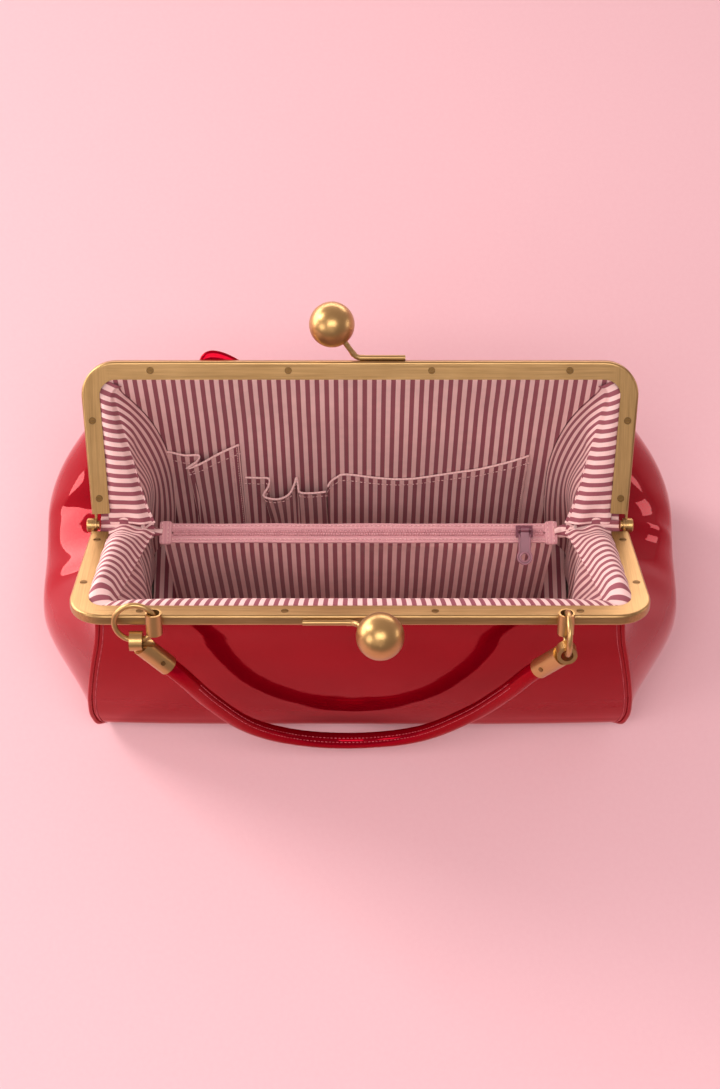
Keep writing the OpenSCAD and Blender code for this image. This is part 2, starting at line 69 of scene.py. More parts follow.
# Leather: half depth of the panels and half width of their seams against height
PANEL_DEPTH = [[0, 77], [6, 81], [14, 84.4], [30, 86], [60, 85.6], [90, 84], [120, 81.2], [150, 77.4],
               [172, 74.8], [185, 72.4]]
SEAM_WIDTH = [[0, 157], [6, 160], [14, 162.4], [30, 164], [60, 162.5], [90, 158.5], [120, 153.5],
              [150, 148], [172, 145.2], [185, 144.2]]
PANEL_TOP = 184.4
FLOOR_GAP = 0.4
LEATHER = 1.6
SEAM_LIP = 1.35
STITCH_INSET = 3.2
BASE_HALF_LENGTH, BASE_HALF_DEPTH = 155.5, 75.0
BASE_SQUARENESS = 12

# Gussets: bulge, how far the hinge end lies under the hinge, rise to the corner, roundness of the valley, and
# folds by side as place from the hinge line, width (both as shares of the depth) and height
GUSSET_BULGE = 37.5
GUSSET_DROP = 8.6
GUSSET_RISE = 57.5
GUSSET_VALLEY = 0.2
GUSSET_FOLDS = {
    LEFT: [(-0.40, 0.09, -3.0), (0.32, 0.08, -2.6)],
    RIGHT: [(0.14, 0.05, 2.6), (-0.26, 0.10, -2.6), (0.34, 0.08, -2.4)],
}

# Lining: half depth and half width of its walls against height
LINING_DEPTH = [[8, 48], [60, 55], [120, 62.8], [160, 67.2], [187, 70.2]]
WALL_WIDTH = [[8, 120], [60, 116], [95, 116], [120, 119], [150, 127], [170, 136.5], [187, 146.5]]
GUSSET_WIDTH = [[8, 133], [60, 130], [120, 127], [150, 131], [187, 140]]
LINING_FLOOR = 9.2
LINING_TOP = 185.6
ROLL_HALF_WIDTH, ROLL_UP = (134.0, 143.5), (74.5, 86.6)
ROLL_PUFF, ROLL_SINK = 2.6, 2.4
FLOOR_CLOTH_HALF, FLOOR_CLOTH_Z = (133.0, 47.4), 8.5
HEM_RADIUS, STITCH_PROUD = 0.75, 0.75
CLOTH = 0.5
STRIPE = 5.5

# Zip and divider
ZIP_LEFT, ZIP_RIGHT = -118.4, 116.6
ZIP_Y = 2.0
ZIP_HEIGHT = 118.0
TAB_LENGTH = 7.0
TAB_HALF_WIDTH, TAB_HALF_THICKNESS = 7.0, 1.75
TAPE_STITCH_OUT, TAPE_STITCH_UP = 4.3, 0.62
TIE_ROUTE = [(0, 0, 0.2), (4, 0.4, 1.4), (8.5, 0.2, 4.5), (13, -0.6, 8.5)]


def smooth(t):
    """Ease from 0 to 1: three t squared less two t cubed, with t held between 0 and 1."""
    t = np.clip(t, 0, 1)
    return t * t * (3 - 2 * t)


def mix(a, b, t):
    """Straight blend from a to b."""
    return a + (b - a) * t


def table_curve(table, at):
    """Cubic Hermite curve through a table's points, with slopes from its neighbours."""
    xs, ys = np.array(table, float).T
    slopes = np.gradient(ys, xs)
    at = np.clip(np.asarray(at, float), xs[0], xs[-1])
    k = np.clip(np.searchsorted(xs, at) - 1, 0, len(xs) - 2)
    span = xs[k + 1] - xs[k]
    t = (at - xs[k]) / span
    return ((2 * t**3 - 3 * t**2 + 1) * ys[k] + (t**3 - 2 * t**2 + t) * span * slopes[k]
            + (3 * t**2 - 2 * t**3) * ys[k + 1] + (t**3 - t**2) * span * slopes[k + 1])


def rounded_path(points, steps):
    """Catmull-Rom curve through the points, any number of columns, with the end points doubled."""
    p = np.array(points, float)
    p = np.vstack([2 * p[0] - p[1], p, 2 * p[-1] - p[-2]])
    t = np.linspace(0, 1, steps, endpoint=False)[None, :, None]
    a, b, c, d = (p[k:len(p) - 3 + k][:, None, :] for k in range(4))
    run = 0.5 * (2 * b + (c - a) * t + (2 * a - 5 * b + 4 * c - d) * t**2 + (3 * b - a - 3 * c + d) * t**3)
    return np.vstack([run.reshape(-1, p.shape[1]), p[-2:-1]])


def even_path(points, count):
    """The same line cut into equal lengths."""
    p = np.array(points, float)
    along = np.concatenate([[0], np.cumsum(np.linalg.norm(np.diff(p, axis=0), axis=1))])
    at = np.linspace(0, along[-1], count)
    return np.stack([np.interp(at, along, p[:, k]) for k in range(p.shape[1])], -1), along[-1]


def unit(v):
    """Vectors along the last axis, made one long."""
    v = np.asarray(v, float)
    return v / np.maximum(np.linalg.norm(v, axis=-1, keepdims=True), 1e-9)


def half_point(half, x, n, e):
    """A point of a frame half: e up the half from its hinge, n out of its plane on the inside of the bag."""
    sin, cos = math.sin(OPEN_ANGLE), math.cos(OPEN_ANGLE)
    x, n, e = np.broadcast_arrays(x, n, e)
    return np.stack([x, half * (e * sin - n * cos), HINGE_Z + n * sin + e * cos], -1)


def panel_y(z, u):
    """Half depth of a panel: the depth curve, less a rounding of 1.4 mm toward the side seams."""
    return table_curve(PANEL_DEPTH, z) - 1.4 * np.abs(u)**4


def piece_from(name, points, material, uv=None, wrap=False, caps=False):
    """A grid of points (rows, columns, xyz) as a smooth quad mesh. Wrap joins the last column to the
    first, and caps close the first and last row. UVs are lengths in metres along columns and rows."""
    rows, cols = points.shape[:2]
    ids = np.arange(rows * cols).reshape(rows, cols)
    if wrap:
        ids = np.hstack([ids, ids[:, :1]])
    seats = np.arange(ids.size).reshape(ids.shape)

    def quads(grid):
        return np.stack([grid[:-1, :-1], grid[:-1, 1:], grid[1:, 1:], grid[1:, :-1]], -1).reshape(-1, 4)

    faces = quads(ids).tolist()
    if caps:
        faces += [ids[0, :cols][::-1].tolist(), ids[-1, :cols].tolist()]
    mesh = bpy.data.meshes.new(name)
    mesh.from_pydata((points.reshape(-1, 3) * MM).tolist(), [], faces)
    if uv is not None:
        layer = mesh.uv_layers.new(name="UVMap")
        spread = (uv.reshape(-1, 2) * MM)[quads(seats).ravel()]
        if caps:
            spread = np.vstack([spread, np.zeros((2 * cols, 2))])
        layer.data.foreach_set("uv", spread.astype(np.float32).ravel())
    mesh.polygons.foreach_set("use_smooth", np.ones(len(faces), bool))
    mesh.materials.append(material)
    mesh.update()
    piece = bpy.data.objects.new(name, mesh)
    bpy.context.scene.collection.objects.link(piece)
    return piece


def length_uv(points, across=None):
    """UVs that measure a grid: its own mean length along columns and rows, or a given stripe measure."""
    step_c = np.linalg.norm(np.diff(points, axis=1), axis=2).mean(0)
    step_r = np.linalg.norm(np.diff(points, axis=0), axis=2).mean(1)
    c = np.concatenate([[0], np.cumsum(step_c)])
    r = np.concatenate([[0], np.cumsum(step_r)])
    u, v = np.meshgrid(c, r)
    return np.stack([u if across is None else across, v], -1)


def thicken(piece, thickness, levels=1):
    """Gives a sheet its thickness with Solidify and rounds it by subdivision."""
    wall = piece.modifiers.new("thickness", "SOLIDIFY")
    wall.thickness = thickness * MM
    wall.offset = -1
    if levels:
        rounding = piece.modifiers.new("rounding", "SUBSURF")
        rounding.levels = levels
        rounding.render_levels = levels
    return piece


def keep_edges_sharp(piece):
    """Keeps a sheet's cut edges square, so that two sheets that meet edge to edge shade as one."""
    mesh = piece.data
    uses = np.zeros(len(mesh.edges), int)
    edge_of_loop = np.empty(len(mesh.loops), int)
    mesh.loops.foreach_get("edge_index", edge_of_loop)
    np.add.at(uses, edge_of_loop, 1)
    sharp = mesh.attributes.new("sharp_edge", "BOOLEAN", "EDGE")
    sharp.data.foreach_set("value", uses == 1)
    wall = piece.modifiers["thickness"]
    wall.edge_crease_outer = 1.0
    wall.edge_crease_inner = 1.0


def tube(name, path, radius, material, sides=16, facing=(0, 0, 1), swell=None, caps=True):
    """A round section carried along a path. Facing is the side that angle 0 looks to, one vector or one
    a point, and swell adds to the radius as a function of angle and of length along the path."""
    path = np.array(path, float)
    tangent = unit(np.gradient(path, axis=0))
    toward = np.broadcast_to(np.asarray(facing, float), path.shape)
    out = unit(toward - (toward * tangent).sum(-1, keepdims=True) * tangent)
    across = np.cross(tangent, out)
    along = np.concatenate([[0], np.cumsum(np.linalg.norm(np.diff(path, axis=0), axis=1))])
    angle = np.linspace(-math.pi, math.pi, sides, endpoint=False)
    r = np.broadcast_to(np.asarray(radius, float), along.shape)[:, None] * np.ones(sides)
    if swell is not None:
        r = r + swell(angle[None, :], along[:, None])
    points = (path[:, None] + (r * np.cos(angle))[..., None] * out[:, None]
              + (r * np.sin(angle))[..., None] * across[:, None])
    turn = np.linspace(-math.pi, math.pi, sides + 1) * np.mean(radius)
    u, v = np.meshgrid(turn, along)
    return piece_from(name, points, material, np.stack([u, v], -1), wrap=True, caps=caps)


def stitch_row(name, path, outward, material, pitch=2.6, length=1.9, radius=0.32):
    """A row of stitches along a path: each is a small spindle of five rings, half sunk in what it sews."""
    count = max(2, int(np.linalg.norm(np.diff(np.array(path, float), axis=0), axis=1).sum() / pitch))
    both = np.hstack([np.array(path, float), np.broadcast_to(np.asarray(outward, float), np.shape(path))])
    line, _ = even_path(both[:, :3], count)
    share = np.linspace(0, 1, count)
    old = np.linspace(0, 1, len(both))
    out = unit(np.stack([np.interp(share, old, both[:, 3 + k]) for k in range(3)], -1))
    tangent = unit(np.gradient(line, axis=0))
    out = unit(out - (out * tangent).sum(-1, keepdims=True) * tangent)
    side = np.cross(tangent, out)
    ring_at = np.array([-0.5, -0.38, 0, 0.38, 0.5]) * length
    ring_r = np.array([0.25, 0.8, 1, 0.8, 0.25]) * radius
    ring_lift = np.array([-0.2, 0.35, 0.55, 0.35, -0.2]) * radius
    sides = 6
    angle = np.linspace(0, 2 * math.pi, sides, endpoint=False)
    spot = (line[:, None, None] + ring_at[None, :, None, None] * tangent[:, None, None]
            + (ring_lift[:, None] + ring_r[:, None] * np.cos(angle))[None, ..., None] * out[:, None, None]
            + (ring_r[:, None] * np.sin(angle))[None, ..., None] * side[:, None, None])
    each = len(ring_at) * sides
    ring = np.arange(each).reshape(-1, sides)
    ends = np.vstack([ring[0, ::-1], ring[-1]])
    ring = np.hstack([ring, ring[:, :1]])
    quads = np.stack([ring[:-1, :-1], ring[:-1, 1:], ring[1:, 1:], ring[1:, :-1]], -1).reshape(-1, 4)
    first = each * np.arange(count)[:, None, None]
    all_quads = (quads + first).reshape(-1, 4)
    all_ends = (ends + first).reshape(-1, sides)
    mesh = bpy.data.meshes.new(name)
    mesh.from_pydata((spot.reshape(-1, 3) * MM).tolist(), [], all_quads.tolist() + all_ends.tolist())
    mesh.polygons.foreach_set("use_smooth", np.ones(len(mesh.polygons), bool))
    mesh.materials.append(material)
    piece = bpy.data.objects.new(name, mesh)
    bpy.context.scene.collection.objects.link(piece)
    return piece


def follow_half(piece):
    """Bakes the piece's placement into its mesh and reads its points back in millimetres; nothing more is
    done with them, and the piece is returned."""
    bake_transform(piece)
    count = len(piece.data.vertices)
    place = np.empty(count * 3, np.float32)
    piece.data.vertices.foreach_get("co", place)
    place = place.reshape(-1, 3) / MM
    return piece


# Colours and materials


def linear(hex_colour):
    """An sRGB hex colour as linear RGBA."""
    srgb = np.array([int(hex_colour[k:k + 2], 16) for k in (1, 3, 5)]) / 255
    rgb = np.where(srgb <= 0.04045, srgb / 12.92, ((srgb + 0.055) / 1.055)**2.4)
    return (*rgb.tolist(), 1.0)


def add(tree, kind, sockets=None, **settings):
    """Adds a node with its settings; a socket takes a value or the output that feeds it."""
    made = tree.nodes.new(kind)
    for key, value in settings.items():
        setattr(made, key, value)
    for key, value in (sockets or {}).items():
        if isinstance(value, bpy.types.NodeSocket):
            tree.links.new(value, made.inputs[key])
        else:
            made.inputs[key].default_value = value
    return made


def new_material(name):
    """An empty node material with its output, and the Principled shader to fill in."""
    material = bpy.data.materials.new(name)
    material.use_nodes = True
    tree = material.node_tree
    tree.nodes.clear()
    shader = add(tree, "ShaderNodeBsdfPrincipled")
    add(tree, "ShaderNodeOutputMaterial", {"Surface": shader.outputs["BSDF"]})
    return material, tree, shader


def blend_colours(tree, factor, low, high):
    """A colour between two hex colours, by a factor from another node."""
    ramp = add(tree, "ShaderNodeMix", data_type="RGBA")
    tree.links.new(factor, ramp.inputs[0])
    ramp.inputs[6].default_value = linear(low)
    ramp.inputs[7].default_value = linear(high)
    return ramp.outputs[2]


def per_mm(size):
    """Scale of a pattern whose cells are this many millimetres, on coordinates in metres."""
    return 1 / (size * MM)


def wave_scale(size):
    """Scale of a wave pattern that repeats about every this many millimetres."""
    return per_mm(size) / (2 * math.pi)


def patent_leather(name, dark, light, film, pearl):
    """Cowhide with a poured red lacquer: a deep, pearly red whose mirror is red too, under a thin clear
    film, with a faint grain and a slow waviness that bends the reflections. Film is the clear film's
    weight and pearl the part of the red that mirrors."""
    material, tree, shader = new_material(name)
    place = add(tree, "ShaderNodeTexCoord").outputs["Object"]
    cloud = add(tree, "ShaderNodeTexNoise", {"Vector": place, "Scale": per_mm(60), "Detail": 3.0})
    grain = add(tree, "ShaderNodeTexVoronoi", {"Vector": place, "Scale": per_mm(1.1)},
                feature="SMOOTH_F1")
    ripple = add(tree, "ShaderNodeTexNoise", {"Vector": place, "Scale": per_mm(22), "Detail": 1.0})
    tree.links.new(blend_colours(tree, cloud.outputs["Fac"], dark, light), shader.inputs["Base Color"])
    slow = add(tree, "ShaderNodeBump", {"Height": ripple.outputs["Fac"], "Strength": 0.09,
                                        "Distance": 2 * MM})
    fine = add(tree, "ShaderNodeBump", {"Height": grain.outputs["Distance"], "Strength": 0.05,
                                        "Distance": 0.2 * MM, "Normal": slow.outputs["Normal"]})
    tree.links.new(fine.outputs["Normal"], shader.inputs["Normal"])
    tree.links.new(slow.outputs["Normal"], shader.inputs["Coat Normal"])
    shader.inputs["Roughness"].default_value = 0.05
    shader.inputs["Metallic"].default_value = pearl
    shader.inputs["Specular IOR Level"].default_value = 0.1
    shader.inputs["Specular Tint"].default_value = linear("#FF3850")
    shader.inputs["Coat Weight"].default_value = film
    shader.inputs["Coat Roughness"].default_value = 0.03
    shader.inputs["Coat IOR"].default_value = 1.45
    return material


def striped_cotton(name, light, dark):
    """Cotton sateen with yarn-dyed stripes: soft and even, with a little sheen and a fine thread. The
    thread is drawn at 0.7 mm, coarser than life, so that it shows."""
    material, tree, shader = new_material(name)
    lie = add(tree, "ShaderNodeUVMap").outputs["UV"]
    split = add(tree, "ShaderNodeSeparateXYZ", {"Vector": lie})
    turns = add(tree, "ShaderNodeMath", {0: split.outputs["X"], 1: per_mm(STRIPE / 2)}, operation="MULTIPLY")
    saw = add(tree, "ShaderNodeMath", {0: turns.outputs[0], 1: 1.0}, operation="PINGPONG")
    edge = add(tree, "ShaderNodeMapRange", {"Value": saw.outputs[0], "From Min": 0.46, "From Max": 0.56},
               interpolation_type="SMOOTHSTEP")
    cloud = add(tree, "ShaderNodeTexNoise", {"Vector": lie, "Scale": per_mm(9), "Detail": 4.0})
    dim = add(tree, "ShaderNodeMapRange", {"Value": cloud.outputs["Fac"], "To Min": 0.86, "To Max": 1.08})
    stripe = blend_colours(tree, edge.outputs["Result"], light, dark)
    shade = add(tree, "ShaderNodeMix", data_type="RGBA", blend_type="MULTIPLY")
    shade.inputs[0].default_value = 1.0
    tree.links.new(stripe, shade.inputs[6])
    tree.links.new(dim.outputs["Result"], shade.inputs[7])
    tree.links.new(shade.outputs[2], shader.inputs["Base Color"])
    warp = add(tree, "ShaderNodeTexWave", {"Vector": lie, "Scale": wave_scale(0.7)},
               bands_direction="X")
    weft = add(tree, "ShaderNodeTexWave", {"Vector": lie, "Scale": wave_scale(0.7)},
               bands_direction="Y")
    weave = add(tree, "ShaderNodeMath", {0: warp.outputs["Fac"], 1: weft.outputs["Fac"]}, operation="ADD")
    bump = add(tree, "ShaderNodeBump", {"Height": weave.outputs[0], "Strength": 0.25, "Distance": 0.15 * MM})
    tree.links.new(bump.outputs["Normal"], shader.inputs["Normal"])
    shader.inputs["Roughness"].default_value = 0.78
    shader.inputs["Sheen Weight"].default_value = 0.25
    shader.inputs["Sheen Roughness"].default_value = 0.4
    shader.inputs["Sheen Tint"].default_value = linear("#FFE4E0")
    return material


def woven_tape(name, low, high):
    """Polyester zip tape: a dense herringbone of fine ribs along its length, matt with a soft sheen."""
    material, tree, shader = new_material(name)
    lie = add(tree, "ShaderNodeUVMap").outputs["UV"]
    ribs = add(tree, "ShaderNodeTexWave", {"Vector": lie, "Scale": wave_scale(1.1), "Distortion": 0.6},
               bands_direction="Y")
    picks = add(tree, "ShaderNodeTexWave", {"Vector": lie, "Scale": wave_scale(0.8)},
                bands_direction="X")
    cloud = add(tree, "ShaderNodeTexNoise", {"Vector": lie, "Scale": per_mm(6), "Detail": 3.0})
    tone = add(tree, "ShaderNodeMath", {0: ribs.outputs["Fac"], 1: cloud.outputs["Fac"]},
               operation="MULTIPLY")
    tree.links.new(blend_colours(tree, tone.outputs[0], low, high), shader.inputs["Base Color"])
    weave = add(tree, "ShaderNodeMath", {0: ribs.outputs["Fac"], 1: picks.outputs["Fac"]}, operation="ADD")
    bump = add(tree, "ShaderNodeBump", {"Height": weave.outputs[0], "Strength": 0.4, "Distance": 0.2 * MM})
    tree.links.new(bump.outputs["Normal"], shader.inputs["Normal"])
    shader.inputs["Roughness"].default_value = 0.7
    shader.inputs["Sheen Weight"].default_value = 0.3
    return material


def sewing_thread(name, low, high):
    """Twisted polyester thread: its plies show as slanting bands of two colours, the lighter one painted
    highlight on the glossy plies, with a soft shine.
    """
    material, tree, shader = new_material(name)
    place = add(tree, "ShaderNodeTexCoord").outputs["Object"]
    ply_highlight_bands = add(tree, "ShaderNodeTexWave", {"Vector": place, "Scale": wave_scale(0.6)},
                bands_direction="DIAGONAL")
    # Bands between a darker colour and a lighter one, the lighter one painted highlight.
    tree.links.new(blend_colours(tree, ply_highlight_bands.outputs["Fac"], low, high), shader.inputs["Base Color"])
    shader.inputs["Roughness"].default_value = 0.45
    return material


def moulded_nylon(name, low, high):
    """Nylon coil filament: smooth, slightly glossy, with a faint cloudy tone."""
    material, tree, shader = new_material(name)
    place = add(tree, "ShaderNodeTexCoord").outputs["Object"]
    cloud = add(tree, "ShaderNodeTexNoise", {"Vector": place, "Scale": per_mm(2.5), "Detail": 2.0})
    tree.links.new(blend_colours(tree, cloud.outputs["Fac"], low, high), shader.inputs["Base Color"])
    shader.inputs["Roughness"].default_value = 0.38
    return material


def enamelled_zinc(name, low, high):
    """Die-cast zinc under mauve enamel: even gloss with a slight orange peel."""
    material, tree, shader = new_material(name)
    place = add(tree, "ShaderNodeTexCoord").outputs["Object"]
    cloud = add(tree, "ShaderNodeTexNoise", {"Vector": place, "Scale": per_mm(7), "Detail": 3.0})
    peel = add(tree, "ShaderNodeTexNoise", {"Vector": place, "Scale": per_mm(0.9), "Detail": 1.0})
    tree.links.new(blend_colours(tree, cloud.outputs["Fac"], low, high), shader.inputs["Base Color"])
    bump = add(tree, "ShaderNodeBump", {"Height": peel.outputs["Fac"], "Strength": 0.06,
                                        "Distance": 0.2 * MM})
    tree.links.new(bump.outputs["Normal"], shader.inputs["Normal"])
    shader.inputs["Metallic"].default_value = 0.15
    shader.inputs["Roughness"].default_value = 0.42
    shader.inputs["Coat Weight"].default_value = 0.08
    shader.inputs["Coat Roughness"].default_value = 0.08
    return material


def aged_brass(name, dark, mid, bright, streak, rough, brush_mm, draw, legs=False):
    """Brass toned brown and rubbed back: fine brush lines along X, cloudy toning and a satin shine. Draw is
    how much longer a line is than it is wide, and on the frame's legs the lines run along the leg. The
    lines are drawn coarser than life, so that they show."""
    material, tree, shader = new_material(name)
    place = add(tree, "ShaderNodeTexCoord").outputs["Object"]
    along_bar = add(tree, "ShaderNodeMapping", {"Vector": place, "Scale": (1 / draw, 1.0, 1.0)})
    brush = add(tree, "ShaderNodeTexNoise", {"Vector": along_bar.outputs["Vector"],
                                             "Scale": per_mm(brush_mm), "Detail": 4.0, "Roughness": 0.7})
    lines = brush.outputs["Fac"]
    if legs:
        apart = add(tree, "ShaderNodeSeparateXYZ", {"Vector": place})
        depth = add(tree, "ShaderNodeMath", {0: apart.outputs["Y"]}, operation="ABSOLUTE")
        width = add(tree, "ShaderNodeMath", {0: apart.outputs["X"]}, operation="ABSOLUTE")
        folded = add(tree, "ShaderNodeCombineXYZ", {"X": apart.outputs["X"], "Y": depth.outputs[0],
                                                    "Z": apart.outputs["Z"]})
        level = add(tree, "ShaderNodeMapping", {"Vector": folded.outputs["Vector"],
                                                "Rotation": (OPEN_ANGLE - math.pi / 2, 0, 0)})
        along_leg = add(tree, "ShaderNodeMapping", {"Vector": level.outputs["Vector"],
                                                    "Scale": (1.0, 1 / draw, 1.0)})
        leg_brush = add(tree, "ShaderNodeTexNoise", {"Vector": along_leg.outputs["Vector"],
                                                     "Scale": per_mm(brush_mm), "Detail": 4.0,
                                                     "Roughness": 0.7})
        on_leg = add(tree, "ShaderNodeMapRange", {"Value": width.outputs[0], "From Min": (CORNER_X + 2) * MM,
                                                  "From Max": (CORNER_X + 8) * MM},
                     interpolation_type="SMOOTHSTEP")
        both = add(tree, "ShaderNodeMix", {"Factor": on_leg.outputs["Result"]}, data_type="FLOAT")
        tree.links.new(brush.outputs["Fac"], both.inputs[2])
        tree.links.new(leg_brush.outputs["Fac"], both.inputs[3])
        lines = both.outputs[0]
    cloud = add(tree, "ShaderNodeTexNoise", {"Vector": place, "Scale": per_mm(24), "Detail": 4.0})
    toned = blend_colours(tree, cloud.outputs["Fac"], mid, bright)
    dirt = add(tree, "ShaderNodeMapRange", {"Value": lines, "From Min": 0.35, "From Max": 0.65,
                                            "To Min": streak, "To Max": 0.0})
    worn = add(tree, "ShaderNodeMix", data_type="RGBA")
    tree.links.new(dirt.outputs["Result"], worn.inputs[0])
    tree.links.new(toned, worn.inputs[6])
    worn.inputs[7].default_value = linear(dark)
    tree.links.new(worn.outputs[2], shader.inputs["Base Color"])
    satin = add(tree, "ShaderNodeMapRange", {"Value": lines, "To Min": rough - 0.07, "To Max": rough + 0.09})
    tree.links.new(satin.outputs["Result"], shader.inputs["Roughness"])
    bump = add(tree, "ShaderNodeBump", {"Height": lines, "Strength": 0.08, "Distance": 0.1 * MM})
    tree.links.new(bump.outputs["Normal"], shader.inputs["Normal"])
    shader.inputs["Metallic"].default_value = 0.9
    return material


def pressed_board(name, low, high):
    """Grey stiffener board: pressed fibres, matt and speckled."""
    material, tree, shader = new_material(name)
    place = add(tree, "ShaderNodeTexCoord").outputs["Object"]
    fibre = add(tree, "ShaderNodeTexNoise", {"Vector": place, "Scale": per_mm(1.5), "Detail": 6.0})
    tree.links.new(blend_colours(tree, fibre.outputs["Fac"], low, high), shader.inputs["Base Color"])
    shader.inputs["Roughness"].default_value = 0.9
    return material


red_leather = patent_leather("red_patent_leather", "#8A0013", "#A20520", 0.035, 0.45)
gusset_leather = patent_leather("gusset_patent_leather", "#8E0010", "#A2031C", 0.55, 0.25)
lining_cloth = striped_cotton("striped_cotton_lining", "#F4CCC7", "#96505B")
tape_cloth = woven_tape("pink_zip_tape", "#CC8F95", "#E6B0B1")
# Hem cloth: plain light pink, painted highlight on the folded top edges of the pockets.
hem_highlight_cotton = woven_tape("pink_cotton_edge_painted_highlight", "#E9BBB7", "#F8D8D4")
coil_nylon = moulded_nylon("pink_nylon_coil", "#B3777E", "#D39A9D")
mauve_enamel = enamelled_zinc("mauve_enamelled_zinc", "#6E3E4A", "#8A5260")
# The pull's rims: the same enamel in lighter colours, painted highlight on their raised edges.
pull_rim_painted_highlight = enamelled_zinc("mauve_enamel_painted_highlight_rim", "#8A5663", "#AC7884")
frame_brass = aged_brass("antique_brass", "#6E5430", "#B08C58", "#C8A470", 0.4, 0.33, 1.2, 40, legs=True)
bright_brass = aged_brass("rubbed_brass", "#7E6238", "#B28D57", "#C8A46C", 0.04, 0.31, 0.5, 3)
# Screws: brass made darker all over, painted shade of their slots and of the gap round their heads.
screw_brass = aged_brass("screw_brass_painted_shade", "#33210F", "#7A5C34", "#9C7A4A", 0.4, 0.36, 0.8, 2)
board = pressed_board("grey_stiffener_board", "#6F675F", "#8D857B")
# Thread colours: the lighter of each pair is painted highlight on the glossy stitches.
red_thread = sewing_thread("red_polyester_thread", "#A01826", "#D0606A")
pink_thread = sewing_thread("pink_polyester_thread", "#D9A5A3", "#F0C9C5")

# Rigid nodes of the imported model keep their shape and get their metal

FRAME_NODES = ("front_frame", "rear_frame", "front_clasp_stem", "rear_clasp_stem")
SCREW_NODES = ("front_screws", "rear_screws", "front_set_screws", "rear_set_screws")
BRIGHT_NODES = ("hinge_rivet_left", "hinge_rivet_right", "front_clasp_ball",
                "rear_clasp_ball", "front_lug_left", "front_lug_right", "rear_lug_left", "rear_lug_right",
                "front_ring_left", "front_ring_right", "rear_ring_left", "rear_ring_right",
                "front_ferrule_left", "front_ferrule_right", "rear_ferrule_left", "rear_ferrule_right")
ENAMEL_NODES = ("zip_slider", "zip_pull")


def finish_node(name, material):
    """Puts a material on every slot of a CAD node."""
    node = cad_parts[name]
    if not node.material_slots:
        node.data.materials.append(material)
    for slot in node.material_slots:
        slot.material = material


for node_name in FRAME_NODES:
    finish_node(node_name, frame_brass)
for node_name in BRIGHT_NODES:
    finish_node(node_name, bright_brass)
for node_name in SCREW_NODES:
    finish_node(node_name, screw_brass)
for node_name in ENAMEL_NODES:
    finish_node(node_name, mauve_enamel)
finish_node("base_board", board)

# Leather body


def leather_panel(name, half):
    """Front or rear panel: u across and v up. X is u times the seam width at that height, Y the panel's
    half depth there, with a slow wave of half a millimetre that fades at the edges."""
    u, v = np.meshgrid(np.linspace(-1, 1, 97), np.linspace(0, 1, 61))
    z = mix(FLOOR_GAP, PANEL_TOP, v)
    wave = 0.5 * np.sin(5.2 * u + 2 * v + half) * np.sin(math.pi * v) * (1 - u**2)
    x = u * table_curve(SEAM_WIDTH, z)
    y = half * (panel_y(z, u) + wave)
    points = np.stack([x, y, z], -1)
    if half == REAR:
        points = points[:, ::-1]
    panel = thicken(piece_from(name, points, red_leather, length_uv(points)), LEATHER)
    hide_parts(name)
    follow_half(panel)
    return panel


def gusset_point(side, half, s, t):
    """A point of a gusset. Z runs from the floor to the frame leg, Y is s of the panel's half depth, and X
    is the seam width plus the bulge, which is full at the hinge line and none at the seams, and sits higher
    near the hinge line, where the leather makes a shelf. Folds run out from the hinge as bell-shaped
    ridges, and the valley under the hinge is rounded."""
    rise = (np.sqrt(s**2 + GUSSET_VALLEY**2) - GUSSET_VALLEY) / (math.hypot(1, GUSSET_VALLEY) - GUSSET_VALLEY)
    z = mix(FLOOR_GAP, HINGE_Z - GUSSET_DROP + GUSSET_RISE * rise, t)
    y = half * s * (panel_y(z, 1) - 0.2)
    swell = GUSSET_BULGE * (1 - s**3) * np.sin(math.pi * t**(1.4 + 0.6 * np.exp(-(s / 0.36)**4)))
    ridge = np.zeros_like(s * t)
    for at, width, height in GUSSET_FOLDS[side]:
        reach = smooth((t - 0.7) / 0.15) * smooth((1 - t) / 0.08)
        ridge = ridge + height * np.exp(-((half * s - at * (1.2 - 0.5 * t)) / width)**2) * reach
    lip = 1.5 * smooth((t - 0.93) / 0.07) * (1 - s)
    x = table_curve(SEAM_WIDTH, SEAM_WIDTH[-1][0] * t) + swell + ridge + lip
    return np.stack([side * x, y + 0 * x, z + 0 * x], -1)


def gusset_half(name, side, half):
    """Front or rear half of a gusset, s from the hinge line to the seam and t up from the floor."""
    s, t = np.meshgrid(np.linspace(0, 1, 49), np.linspace(0, 1, 61))
    points = gusset_point(side, half, s, t)
    if side * half > 0:
        points = points[:, ::-1]
    piece = thicken(piece_from(name, points[:, ::-1], gusset_leather, length_uv(points)), LEATHER)
    keep_edges_sharp(piece)
    follow_half(piece)
    return piece


def seam_fold(name, side, half):
    """The turned edge along a side seam: a slim round lip carried up the edge of the panel."""
    z = np.linspace(1.2, PANEL_TOP - 1.5, 90)
    edge = np.stack([side * (table_curve(SEAM_WIDTH, z) + 0.2), half * (panel_y(z, 1) + 0.1), z], -1)
    lip = tube(name, edge, SEAM_LIP, red_leather, sides=10, facing=(side, half, 0))
    return follow_half(lip)


def panel_stitches(name, side, half):
    """Stitches just inside a side seam, on the face of the panel."""
    z = np.linspace(3, PANEL_TOP - 4, 120)
    width = table_curve(SEAM_WIDTH, z)
    u = (width - STITCH_INSET) / width
    path = np.stack([side * u * width, half * (panel_y(z, u) + 0.08), z], -1)
    row = stitch_row(name, path, (0, half, 0.1), red_thread, pitch=2.3, length=1.7, radius=0.3)
    return follow_half(row)


